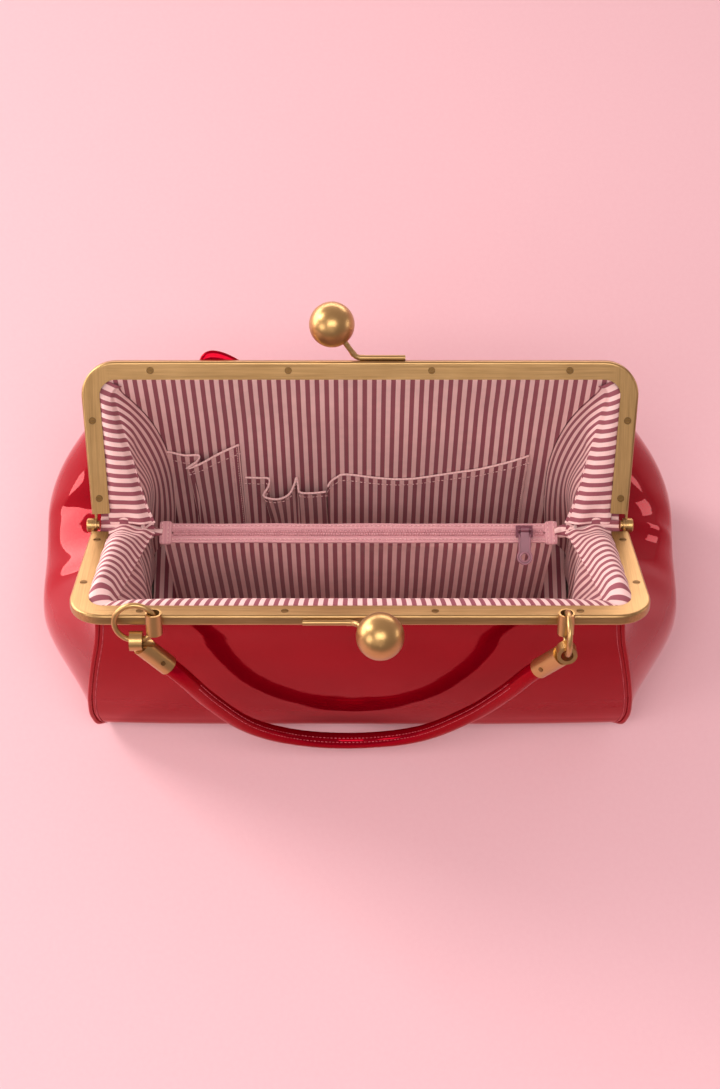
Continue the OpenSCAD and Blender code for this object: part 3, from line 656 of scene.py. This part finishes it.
def base_panel():
    """The base: a rounded rectangle whose edge rises a little, u round it and v from the middle out."""
    angle = np.linspace(-math.pi, math.pi, 128, endpoint=False)
    share = np.concatenate([np.linspace(0.02, 0.97, 14), [0.99, 1.0, 1.0, 0.99, 0.97], [0.5, 0.02]])
    level = np.concatenate([np.full(14, 0.3), [0.45, 0.8, 1.4, 1.8, 2.0], [2.0, 2.0]])
    cos, sin = np.cos(angle), np.sin(angle)
    reach = (np.abs(cos)**BASE_SQUARENESS + np.abs(sin)**BASE_SQUARENESS)**(-1 / BASE_SQUARENESS)
    x = BASE_HALF_LENGTH * share[:, None] * (cos * reach)[None]
    y = BASE_HALF_DEPTH * share[:, None] * (sin * reach)[None]
    points = np.stack([x, y, np.broadcast_to(level[:, None], x.shape)], -1)
    base = piece_from("base_leather", points[:, ::-1], red_leather, wrap=True, caps=True)
    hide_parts("base_panel")
    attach(base, "bag")
    return base


front_panel = leather_panel("front_panel", FRONT)
rear_panel = leather_panel("rear_panel", REAR)
for side in (LEFT, RIGHT):
    for half in (FRONT, REAR):
        where = f"{HALF_NAMES[half]}_{SIDE_NAMES[side]}"
        gusset_half(f"gusset_{where}", side, half)
        seam_fold(f"seam_fold_{where}", side, half)
        panel_stitches(f"seam_stitches_{where}", side, half)
    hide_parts(f"{SIDE_NAMES[side]}_gusset")
base_leather = base_panel()

# Lining


def cloth_wave(x, z):
    """Slack in the lining: a few long waves that lean and cross, in millimetres."""
    return (1.3 * np.sin(x / 21 + z / 55) + 0.9 * np.sin(x / 11 - z / 33 + 1.7)
            + 0.7 * np.sin(x / 34 + z / 16 + 0.6))


def wall_place(half, u, z):
    """A point of a lining wall: u of its half width at that height, at the lining's depth, with the slack
    fading out toward the frame and the side seams."""
    x = u * table_curve(WALL_WIDTH, z)
    slack = cloth_wave(x + 40 * half, z) * smooth((182 - z) / 40) * smooth((1 - np.abs(u)) / 0.12)
    y = table_curve(LINING_DEPTH, z) - 0.9 + slack * 0.9
    return x, half * y, z


def lining_wall(name, half):
    """Front or rear wall of the lining. The rear one runs straight down from the bar. The front one comes
    11 mm in over the bar's edge as a puffed roll, drawn together a little, and then hangs."""
    u, v = np.meshgrid(np.linspace(-1, 1, 121), np.linspace(0, 1, 67))
    x, y, z = wall_place(half, u, mix(LINING_FLOOR, LINING_TOP, v))
    points = np.stack([x, y, z], -1)
    if half == FRONT:
        roll = smooth((v - 0.86) / 0.07)
        across = np.clip((v - 0.90) / 0.10, 0, 1)
        puff = ROLL_PUFF * np.sin(math.pi * across)**0.8 * (1 - 0.8 * np.abs(u)**8)
        over = half_point(half, u * mix(*ROLL_HALF_WIDTH, across), puff - ROLL_SINK, mix(*ROLL_UP, across))
        points = mix(points, over, roll[..., None])[:, ::-1]
    stripes = length_uv(points, x if half == REAR else (u * ROLL_HALF_WIDTH[1])[:, ::-1])
    wall = thicken(piece_from(name + "_cloth", points, lining_cloth, stripes), CLOTH)
    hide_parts(name)
    return follow_half(wall)


# Gusset lining: its length up the leg, the frame's inner corner, the band's width at hinge and corner, its
# puff and its share of the rows, which are close together at the fold
LINING_LEG = 85.2
INNER_CORNER = 9.5
BAND_WIDTH = {FRONT: (27.0, 15.0), REAR: (27.0, 8.0)}
BAND_PUFF = {FRONT: 10.0, REAR: 3.5}
BAND_SHARE = 0.3
FOLD_STEPS = np.concatenate([np.linspace(0, BAND_SHARE - 0.01, 22), np.linspace(BAND_SHARE, 0.4, 22),
                             np.linspace(0.42, 1, 30)])

# Cloth bunched at a hinge, from its inner to its outer end
GATHER_X, GATHER_HALF_WIDTH, GATHER_Z = (121.0, 151.6), (4.5, 8.6), (125.5, 133.0)


def gusset_lining_half(name, side, half):
    """Half of a gusset lining, s along the frame leg from hinge to corner and v inward and down. A puffed
    band runs in from the leg, wider at the hinge, then the cloth folds over and hangs to the floor of the
    bag. Stripes lie across the leg. Near the hinge the cloth is bunched in small ripples."""
    s, v = np.meshgrid(np.linspace(0, 1, 101), FOLD_STEPS)
    e = LINING_LEG * s
    past = np.clip(e - CORNER_E, 0, INNER_CORNER - 0.1)
    leg = np.where(e > CORNER_E, CORNER_X + np.sqrt(INNER_CORNER**2 - past**2),
                   HINGE_HALF_WIDTH - BAR_WIDTH + LEG_SLOPE * e) + 1.2
    wide, narrow = BAND_WIDTH[half]
    band = np.clip(v / BAND_SHARE, 0, 1)
    width = mix(wide, narrow, s**0.8)
    ripple = 1.6 * np.sin(9 * band + 1.3 * half) * np.exp(-(s / 0.13)**2) * np.sin(math.pi * band)
    gather = 0.5 * np.sin(e / 2.3) * smooth((0.25 - band) / 0.25)
    fullness = smooth((1 - s) / 0.2) * mix(0.2, 1.0, smooth(s / 0.35))
    puff = -2.5 + BAND_PUFF[half] * np.sin(math.pi * band**0.8) * fullness + ripple + gather
    puff = puff - 3.0 * smooth((band - 0.75) / 0.25)
    over = half_point(half, leg - width * band, puff, e * (1 - 0.05 * band))
    fall = np.clip((v - BAND_SHARE) / (1 - BAND_SHARE), 0, 1)
    z = mix(over[..., 2], LINING_FLOOR, fall**1.15)
    seam = smooth((s - 0.6) / 0.4)
    hang_x = mix(table_curve(GUSSET_WIDTH, z), table_curve(WALL_WIDTH, z), seam)
    hang_x = hang_x + 1.4 * np.sin(e / 9 + z / 20) * smooth(fall / 0.2) * (1 - seam)
    hang = np.stack([hang_x, half * s * (table_curve(LINING_DEPTH, z) - 0.6), z], -1)
    over = mix(over, hang, smooth(fall / 0.09)[..., None])
    over = over * np.array([side, 1, 1])
    if side * half < 0:
        points, measure = over[:, ::-1], e[:, ::-1]
    else:
        points, measure = over, e
    piece = piece_from(name, points, lining_cloth, length_uv(points, measure))
    thicken(piece, CLOTH)
    return follow_half(piece)


def hinge_gather(name, side):
    """The lining bunched at a hinge: u out to the rivet and v from the front leg to the rear one. Ripples run
    along X, deeper toward the rivet, over a low saddle."""
    u, v = np.meshgrid(np.linspace(0, 1, 33), np.linspace(-1, 1, 49))
    x = mix(*GATHER_X, u)
    y = mix(*GATHER_HALF_WIDTH, smooth(u / 0.55)) * v + 0.5 * np.sin(5 * u)
    ripple = 0.9 * np.cos(3.5 * math.pi * v + 2.2 * u) * smooth((1 - np.abs(v)) / 0.3) * mix(0.5, 1.0, u)
    z = mix(*GATHER_Z, smooth(u / 0.6)) + 1.6 * v**2 + ripple + 1.2 * np.sin(math.pi * u)
    points = np.stack([side * x, y, z], -1)
    measure = y * 1.15
    if side == LEFT:
        points, measure = points[:, ::-1], measure[:, ::-1]
    piece = thicken(piece_from(name, points, lining_cloth, length_uv(points, measure)), CLOTH)
    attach(piece, "bag")
    return piece


def base_lining():
    """The cloth on the floor of the bag: a gently quilted rectangle, u across and v from front to back."""
    u, v = np.meshgrid(np.linspace(-1, 1, 61), np.linspace(-1, 1, 31))
    z = FLOOR_CLOTH_Z + 0.25 * np.sin(9 * u) * np.sin(5 * v)
    points = np.stack([FLOOR_CLOTH_HALF[0] * u, FLOOR_CLOTH_HALF[1] * v, z], -1)
    floor_cloth = thicken(piece_from("base_lining_cloth", points, lining_cloth, length_uv(points)), CLOTH)
    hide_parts("base_lining")
    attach(floor_cloth, "bag")
    return floor_cloth


front_wall = lining_wall("front_lining", FRONT)
rear_wall = lining_wall("rear_lining", REAR)
for side in (LEFT, RIGHT):
    for half in (FRONT, REAR):
        where = f"{HALF_NAMES[half]}_{SIDE_NAMES[side]}"
        gusset_lining_half(f"gusset_lining_{where}", side, half)
    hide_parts(f"{SIDE_NAMES[side]}_gusset_lining")
    hinge_gather(f"hinge_gather_{SIDE_NAMES[side]}", side)
floor_cloth = base_lining()

# Slip pockets on the rear wall: X at the top, gap from the wall, height of the top, and X at the foot

POCKETS = {
    "left_pocket": [(-117.3, 0.6, 107.5, -117), (-107, 2.5, 110.5, -108), (-98, 3.4, 111.3, -103.2),
                    (-98.6, 5.0, 108, -102.8), (-105.3, 6.6, 103, -103), (-98, 5.6, 104.5, -98),
                    (-86, 3, 109, -86), (-73.2, 1.0, 113.7, -73)],
    "centre_pocket": [(-71.3, 0.6, 78.6, -71), (-63, 1, 79, -64), (-56.5, 1.6, 79.2, -58),
                      (-57, 4.5, 75, -57), (-60.0, 8, 71.3, -56.4), (-56, 9.6, 70, -53),
                      (-49.8, 10, 70, -49), (-44, 8, 71.5, -44.5), (-40.8, 4, 75.5, -41),
                      (-39.4, 1.2, 78.6, -39.6), (-38.5, 4, 74, -38.6), (-37.5, 6.6, 70.3, -37.4),
                      (-30, 7.5, 69.6, -30), (-21.2, 6.8, 69.5, -21)],
    "right_pocket": [(-20.2, 6, 73.7, -20), (-18, 3.6, 76, -18.5), (-14, 2, 78.5, -14.5),
                     (-9.3, 1.1, 80.4, -9.5), (10, 1.2, 80, 10), (37.2, 1.2, 79.2, 37.2),
                     (67.9, 1.2, 85.1, 67.9), (88, 1, 95, 88), (102.9, 0.6, 104.1, 103)],
}
POCKET_FOOT = 14.0


def pocket_place(x, gap, z):
    """A point in front of the rear wall, by the gap from it."""
    u = x / table_curve(WALL_WIDTH, z)
    _, y, _ = wall_place(REAR, np.clip(u, -1, 1), z)
    return np.stack([x, y - gap, z], -1)


def slip_pocket(name):
    """A patch pocket: its top edge is a rounded path with its folds, and each row below it keeps less of
    the gap, down to a foot that lies on the wall. A rolled hem, a plain light pink tube that is painted
    highlight on the folded edge, and a row of stitches follow the top."""
    top, _ = even_path(rounded_path(POCKETS[name], 10), 121)
    v = np.linspace(0, 1, 31)[:, None]
    x = mix(top[:, 3], top[:, 0], v)
    z = mix(POCKET_FOOT, top[:, 2], v)
    gap = 0.9 + (top[:, 1] - 0.4) * v**1.4
    points = pocket_place(x, gap, z)
    girth = np.concatenate([[0], np.cumsum(np.hypot(np.diff(top[:, 0]), np.diff(top[:, 1])))])
    stripes = length_uv(points, np.broadcast_to(girth + top[0, 0], x.shape))
    pocket = thicken(piece_from(name + "_cloth", points, lining_cloth, stripes), CLOTH)
    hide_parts(name)
    follow_half(pocket)
    # The hem is a plain light pink tube: painted highlight on the folded top edge.
    hem = tube(name + "_hem", points[-1], HEM_RADIUS, hem_highlight_cotton, sides=8, facing=(0, 0, 1))
    sewn = mix(points[-4], points[-3], 0.5) + np.array([0, -STITCH_PROUD, 0.1])
    sewing = stitch_row(name + "_stitches", sewn, (0, -1, 0.2), pink_thread)
    for trim in (hem, sewing):
        follow_half(trim)
    return pocket, [hem, sewing], points


pockets = {pocket_name: slip_pocket(pocket_name) for pocket_name in POCKETS}
for pocket_name in ("left_pocket", "right_pocket"):
    edge = pockets[pocket_name][2][2:, -1]
    for k, inset in enumerate((1.5, 4.5)):
        line = edge + np.array([-inset, -STITCH_PROUD, 0])
        row = stitch_row(f"{pocket_name}_side_stitches_{k}", line, (0, -1, 0), pink_thread)
        follow_half(row)

# Zip divider


def divider_wall(name, face):
    """Front or rear wall of the divider: u across and v up, hung from the zip tape with a soft belly and
    the same slack as the lining."""
    u, v = np.meshgrid(np.linspace(0, 1, 121), np.linspace(0, 1, 51))
    x = mix(ZIP_LEFT + 2, ZIP_RIGHT - 2, u)
    z = mix(9.6, ZIP_HEIGHT - 0.6, v)
    ends = smooth(np.minimum(u, 1 - u) / 0.06)
    slack = 0.9 * cloth_wave(x + 90 * face, z) * smooth((1 - v) / 0.2)
    belly = (2.4 * np.sin(math.pi * v**0.8) + slack) * ends
    y = ZIP_Y + face * (3.6 + 1.6 * smooth((1 - v) / 0.06) + np.maximum(belly, -1.2))
    points = np.stack([x, y, z], -1)
    if face > 0:
        points = points[:, ::-1]
    wall = thicken(piece_from(name + "_cloth", points, lining_cloth, length_uv(points)), CLOTH)
    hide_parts(name)
    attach(wall, "bag")
    return wall


def zip_tape(name, face):
    """A zip tape: a flat band with a crown of 0.3 mm, whose outer edge turns down over the divider as a
    round piping. U runs along it and v across it."""
    across = np.array([[0.3, 0.0], [1.2, 0.15], [2.4, 0.3], [3.6, 0.35], [4.6, 0.45], [5.3, 0.5],
                       [5.9, 0.2], [6.2, -0.5], [6.0, -1.3], [5.3, -1.8], [4.7, -1.6]])
    section = rounded_path(across, 3)
    x = np.linspace(ZIP_LEFT + 1, ZIP_RIGHT - 1, 97)
    points = np.empty((len(section), len(x), 3))
    points[..., 0] = x
    points[..., 1] = ZIP_Y + face * (section[:, :1] + 0.12 * np.sin(x / 9 + face))
    points[..., 2] = ZIP_HEIGHT + section[:, 1:] + 0.1 * np.sin(x / 13)
    if face < 0:
        points = points[::-1]
    tape = thicken(piece_from(name + "_cloth", points, tape_cloth, length_uv(points)), CLOTH)
    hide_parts(name)
    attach(tape, "bag")
    return tape


def tape_stitches(name, face):
    """A row of stitches along a zip tape, near its outer edge."""
    x = np.linspace(ZIP_LEFT + 8, ZIP_RIGHT - 8, 90)
    path = np.stack([x, ZIP_Y + face * TAPE_STITCH_OUT + 0 * x, ZIP_HEIGHT + TAPE_STITCH_UP + 0 * x], -1)
    row = stitch_row(name, path, (0, 0, 1), pink_thread)
    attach(row, "bag")
    return row


def coil_strip(name, face):
    """One side of the nylon coil: a rounded ridge along X whose height swells once a tooth, the two sides
    half a tooth out of step. U runs along it and v over it."""
    pitch = 1.5
    x = np.arange(ZIP_LEFT + 8, ZIP_RIGHT - 8, pitch / 8)
    angle = np.linspace(0, math.pi, 9)
    tooth = 0.55 + 0.45 * np.cos(2 * math.pi * x / pitch + (math.pi if face > 0 else 0))
    r = 0.45 + 0.35 * tooth
    y = ZIP_Y + face * (0.85 + 0.75 * np.cos(angle)[:, None] * (0.7 + 0.4 * tooth))
    z = ZIP_HEIGHT + 0.35 + np.sin(angle)[:, None] * r * 1.2
    points = np.stack([np.broadcast_to(x, y.shape), y, z], -1)
    if face > 0:
        points = points[::-1]
    strip = piece_from(name, points[::-1], coil_nylon, length_uv(points))
    thicken(strip, 0.25, levels=0)
    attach(strip, "bag")
    return strip


def zip_tab(name, x0, x1):
    """A folded cloth tab over a zip end: a rounded flat section carried along X, a little fuller in the
    middle of its length."""
    x = np.linspace(x0, x1, 13)
    angle = np.linspace(-math.pi, math.pi, 40, endpoint=False)
    full = 1 + 0.06 * np.sin(math.pi * np.linspace(0, 1, 13))
    full[[0, -1]] = 0.93
    cos, sin = np.cos(angle), np.sin(angle)
    y = ZIP_Y + full[:, None] * TAB_HALF_WIDTH * (np.sign(cos) * np.abs(cos)**0.45)[None]
    z = ZIP_HEIGHT + 0.1 + full[:, None] * TAB_HALF_THICKNESS * (np.sign(sin) * np.abs(sin)**0.6)[None]
    points = np.stack([np.broadcast_to(x[:, None], y.shape), y, z], -1)
    uv = np.stack(np.meshgrid(np.linspace(0, 36, 41), x), -1)
    tab = piece_from(name + "_cloth", points, tape_cloth, uv, wrap=True, caps=True)
    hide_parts(name)
    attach(tab, "bag")
    for k, share in enumerate((0.22, 0.72)):
        at = mix(x0, x1, share)
        y_line = np.linspace(ZIP_Y - 5.6, ZIP_Y + 5.6, 12)
        path = np.stack([at + 0 * y_line, y_line, ZIP_HEIGHT + 1.9 + 0 * y_line], -1)
        row = stitch_row(f"{name}_stitches_{k}", path, (0, 0, 1), pink_thread, pitch=2.2, length=1.6)
        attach(row, "bag")
    return tab


def lining_tie(name, side):
    """The twisted cloth tie from a zip end to the gusset lining: a flat oval section that turns once and
    thickens toward the gusset."""
    start = (ZIP_LEFT if side == LEFT else ZIP_RIGHT) - side * 1.0
    knots = [(start + side * out, ZIP_Y + back, ZIP_HEIGHT + up) for out, back, up in TIE_ROUTE]
    path = rounded_path(knots, 10)
    turn = math.pi / 15

    def oval(angle, along):
        return 1.0 * np.cos(2 * (angle + turn * along)) + 0.05 * along * np.cos(angle)

    tie = tube(name, path, 2.9, lining_cloth, sides=20, facing=(0, 0, 1), swell=oval)
    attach(tie, "bag")
    return tie


PULL_PLACE = (97.0, ZIP_Y, ZIP_HEIGHT + 5.6)
PULL_DIP = math.radians(21)
PULL_EYE = -16.4
PULL_EYE_RADIUS = 2.6


def pull_point(x, y, z):
    """A point of the zip pull's own frame, y out along the pull and z off its face."""
    sin, cos = math.sin(PULL_DIP), math.cos(PULL_DIP)
    x, y, z = np.broadcast_arrays(x, y, z)
    return np.array(PULL_PLACE) + np.stack([x, y * cos - z * sin, y * sin + z * cos], -1)


def pull_rims():
    """The raised rims of the zip pull: one round its outline and one round its eye, both in a lighter enamel
    that is painted highlight on the raised edges.
    """
    arc = np.radians(np.linspace(40, -220, 30))
    x = np.concatenate([[3.2, 3.2, 3.2], 4.2 * np.cos(arc), [-3.2, -3.2, -3.2]])
    y = np.concatenate([[-3, -7, -11], PULL_EYE + 4.2 * np.sin(arc), [-11, -7, -3]])
    up = pull_point(0, 0, 1) - pull_point(0, 0, 0)
    outline = tube("pull_rim", pull_point(x, y, 0.8), 0.45, pull_rim_painted_highlight, sides=10, facing=up)
    turn = np.linspace(0, 2 * math.pi, 33)
    ring = pull_point(PULL_EYE_RADIUS * np.cos(turn), PULL_EYE + PULL_EYE_RADIUS * np.sin(turn), 1.1)
    eye = tube("pull_eye_rim", ring, 0.5, pull_rim_painted_highlight, sides=10, facing=up, caps=False)
    for rim in (outline, eye):
        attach(rim, "pull")


divider_front = divider_wall("divider_front", -1)
divider_rear = divider_wall("divider_rear", 1)
tape_front = zip_tape("zip_tape_front", -1)
tape_rear = zip_tape("zip_tape_rear", 1)
tape_stitches("tape_stitches_front", -1)
tape_stitches("tape_stitches_rear", 1)
coil_front = coil_strip("coil_front", -1)
coil_strip("coil_rear", 1)
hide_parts("zip_coil")
tab_left = zip_tab("zip_tab_left", ZIP_LEFT, ZIP_LEFT + TAB_LENGTH)
tab_right = zip_tab("zip_tab_right", ZIP_RIGHT - TAB_LENGTH, ZIP_RIGHT)
tie_left = lining_tie("lining_tie_left", LEFT)
tie_right = lining_tie("lining_tie_right", RIGHT)
pull_rims()

# Rolled handles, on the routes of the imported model

RING_RADIUS = 11.3
RING_OFFSET = (RING_RADIUS + math.sqrt(RING_RADIUS**2 - 6.5**2)) / 2
LUG_X, LUG_MID, LUG_E = 111.5, -1.5, 101.3
EYE_DROP = 0.9
HANDLE_RADIUS = 5.0
SOCKET_START, SOCKET_OUT = 13.0, 27.0

left_wire = np.array([-121.77, -88.61, 185.74])
front_left_eye = left_wire + np.array([0, 0, -EYE_DROP])
right_wire = half_point(FRONT, LUG_X, LUG_MID - RING_RADIUS, LUG_E + RING_OFFSET)
front_right_eye = right_wire + EYE_DROP * np.array([0, -math.cos(OPEN_ANGLE), -math.sin(OPEN_ANGLE)])
front_left_run = unit([0.62, -0.3, -0.72])
front_right_run = unit([-0.5, -0.06, -0.86])
REAR_EYE_X, REAR_EYE_Y, REAR_EYE_Z = LUG_X, 88.501, 160.878


def handle_route(left_eye, left_run, right_eye, right_run, middle):
    """A handle's line: straight out of each ferrule, then a rounded curve through its hanging points."""
    hang = [np.array(p, float) for p in middle]
    first, last = left_eye + SOCKET_OUT * left_run, right_eye + SOCKET_OUT * right_run
    before = hang[0] - 2 * np.linalg.norm(hang[0] - first) * left_run
    after = hang[-1] - 2 * np.linalg.norm(hang[-1] - last) * right_run
    steps = 12
    bent = rounded_path([before, first, *hang, last, after], steps)[steps:-steps]
    ends = [left_eye + SOCKET_START * left_run, right_eye + SOCKET_START * right_run]
    return even_path(np.vstack([ends[:1], bent, ends[1:]]), 180)[0]


def rolled_handle(name, node, route, body, centre):
    """A rolled handle: a round section with a low sewn ridge on the side toward the middle of its loop,
    and two rows of stitches along the ridge."""
    toward = unit(np.array(centre, float) - route) + np.array([0, -0.35, 0.45])

    def ridge(angle, along):
        return 0.3 * np.exp(-(angle / 0.3)**2) + 0.03 * np.sin(along / 7)

    handle = tube(name, route, HANDLE_RADIUS - 0.1, red_leather, sides=48, facing=toward, swell=ridge)
    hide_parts(node)
    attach(handle, body)
    tangent = unit(np.gradient(route, axis=0))
    out = unit(toward - (toward * tangent).sum(-1, keepdims=True) * tangent)
    across = np.cross(tangent, out)
    for k, angle in enumerate((-0.24, 0.24)):
        normal = math.cos(angle) * out + math.sin(angle) * across
        path = (route + (HANDLE_RADIUS + 0.12) * normal)[18:-18]
        row = stitch_row(f"{name}_stitches_{k}", path, normal[18:-18], red_thread, pitch=2.4, length=1.7,
                         radius=0.32)
        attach(row, body)
    return handle


front_route = handle_route(front_left_eye, front_left_run, front_right_eye, front_right_run, [
    (-86, -101, 116), (-65.5, -101, 66), (-36.5, -99.5, 35), (0, -98.5, 26), (36.3, -99.5, 44),
    (64.7, -100.5, 88), (82.5, -101, 131)])
rolled_handle("front_handle_leather", "front_handle", front_route, "front_handle_set", (0, -100, 125))
rear_left_run, rear_right_run = unit([0.16, 0.22, -0.96]), unit([-0.16, 0.22, -0.96])
rear_left_eye = np.array([-REAR_EYE_X, REAR_EYE_Y, REAR_EYE_Z - EYE_DROP])
rear_right_eye = np.array([REAR_EYE_X, REAR_EYE_Y, REAR_EYE_Z - EYE_DROP])
rear_route = handle_route(rear_left_eye, rear_left_run, rear_right_eye, rear_right_run, [
    (-99, 99, 98), (-72, 99, 60), (-38, 98.5, 40), (0, 98.5, 33), (38, 98.5, 40), (72, 99, 60), (99, 99, 98)])
rolled_handle("rear_handle_leather", "rear_handle", rear_route, "rear_handle_set", (0, 95, 125))


def rear_fold():
    """The leather of the back stands up behind the bar in one fold: u along the bar and v over the fold, a
    rounded loop that rises quickly at its left end and tapers to the right."""
    u = np.linspace(0, 1, 41)
    x = mix(-93.0, -63.0, u)
    rise = 11.5 * np.sin(math.pi * u**0.55)**0.7 + 0.05
    angle = np.linspace(0, 2 * math.pi, 25)[:-1]
    base = half_point(REAR, x, np.full_like(x, -8.4), np.full_like(x, 90.0))
    up = np.array([0, math.sin(OPEN_ANGLE), math.cos(OPEN_ANGLE)])
    back = np.array([0, math.cos(OPEN_ANGLE), -math.sin(OPEN_ANGLE)])
    lift = rise[:, None] * (0.5 + 0.5 * np.cos(angle))[None]
    deep = 1.5 * np.sin(angle)[None] * np.minimum(1, rise / 4)[:, None]
    points = base[:, None] + lift[..., None] * up + deep[..., None] * back
    piece = piece_from("rear_leather_fold", points, red_leather, wrap=True, caps=True)
    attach(piece, "rear_frame_half")
    return piece


fold_behind = rear_fold()

# Stage, light and camera

FLOOR_SIZE = 6000.0
FRONT_WALL_LIGHT, REAR_WALL_LIGHT = 0.28, 0.6


def studio_floor():
    """A wide flat floor of pale pink paper, with a faint tooth."""
    u, v = np.meshgrid(np.linspace(-1, 1, 9), np.linspace(-1, 1, 9))
    points = np.stack([u * FLOOR_SIZE / 2, v * FLOOR_SIZE / 2, 0 * u - 0.05], -1)
    material, tree, shader = new_material("pink_backdrop_paper")
    place = add(tree, "ShaderNodeTexCoord").outputs["Object"]
    tooth = add(tree, "ShaderNodeTexNoise", {"Vector": place, "Scale": per_mm(3), "Detail": 3.0})
    paper = blend_colours(tree, tooth.outputs["Fac"], "#F7C6CD", "#FACCD2")
    tree.links.new(paper, shader.inputs["Base Color"])
    shader.inputs["Roughness"].default_value = 0.9
    floor = piece_from("studio_floor", points, material)
    return floor


def softbox(name, place, target, width, height, watts, colour, off_floor=None):
    """A rectangular lamp at a place in millimetres, turned to its target. A low one leaves out the floor,
    which it would otherwise burn white beside it."""
    lamp = bpy.data.lights.new(name, "AREA")
    lamp.shape = "RECTANGLE"
    lamp.size, lamp.size_y = width * MM, height * MM
    lamp.energy = watts
    lamp.color = linear(colour)[:3]
    holder = bpy.data.objects.new(name, lamp)
    bpy.context.scene.collection.objects.link(holder)
    aim(holder, place, target)
    if off_floor is not None:
        left_out = bpy.data.collections.new(name + "_leaves_out")
        left_out.objects.link(off_floor)
        left_out.collection_objects[0].light_linking.link_state = "EXCLUDE"
        holder.light_linking.receiver_collection = left_out
    return holder


def aim(thing, place, target):
    """Puts a lamp or camera at a place, looking at a target, both in millimetres."""
    thing.location = Vector(place) * MM
    look = (Vector(target) - Vector(place)).normalized()
    thing.rotation_mode = "QUATERNION"
    thing.rotation_quaternion = look.to_track_quat("-Z", "Y")


floor_paper = studio_floor()
softbox("key_softbox", (-1250, 650, 1000), (0, 0, 80), 520, 700, 13, "#FFF6F2")
softbox("left_panel", (-1180, 600, 300), (-150, 0, 130), 1300, 600, 14, "#FFF4F2", floor_paper)
softbox("left_fill", (-1500, -800, 1100), (0, 0, 80), 800, 800, 8, "#FFF4F2")
softbox("rear_panel", (0, 1500, 170), (0, 0, 150), 2400, 340, 15, "#FFF4F2", floor_paper)
softbox("right_panel", (1500, 150, 300), (0, 0, 80), 600, 300, 1.8, "#FFF4F2", floor_paper)
softbox("top_softbox", (0, -620, 1850), (0, 0, 100), 1300, 800, 16, "#FFF8F6")
softbox("front_fill", (-250, -1300, 1150), (0, 0, 100), 1400, 500, 1.6, "#FFF0F0")

world = bpy.data.worlds.new("studio")
world.use_nodes = True
sky = world.node_tree.nodes["Background"]
sky.inputs["Color"].default_value = linear("#FBE3E5")
direction = add(world.node_tree, "ShaderNodeTexCoord").outputs["Generated"]
toward_back = add(world.node_tree, "ShaderNodeSeparateXYZ", {"Vector": direction}).outputs["Y"]
wall_light = add(world.node_tree, "ShaderNodeMapRange",
                 {"Value": toward_back, "From Min": -1.0, "From Max": 1.0,
                  "To Min": FRONT_WALL_LIGHT, "To Max": REAR_WALL_LIGHT})
world.node_tree.links.new(wall_light.outputs["Result"], sky.inputs["Strength"])
bpy.context.scene.world = world
bpy.context.scene.view_settings.view_transform = "Standard"

CAMERA_PLACE = (0, -445.7, 1218.8)
CAMERA_TARGET = (0, 0, 104.6)
FOCAL_PIXELS = 2008
PHOTO_HEIGHT = 1089
SENSOR = 36.0
camera = bpy.data.cameras.new("photo_camera")
camera.sensor_fit = "AUTO"
camera.sensor_width = SENSOR
camera.lens = FOCAL_PIXELS / PHOTO_HEIGHT * SENSOR
camera_holder = bpy.data.objects.new("photo_camera", camera)
bpy.context.scene.collection.objects.link(camera_holder)
aim(camera_holder, CAMERA_PLACE, CAMERA_TARGET)
bpy.context.scene.camera = camera_holder
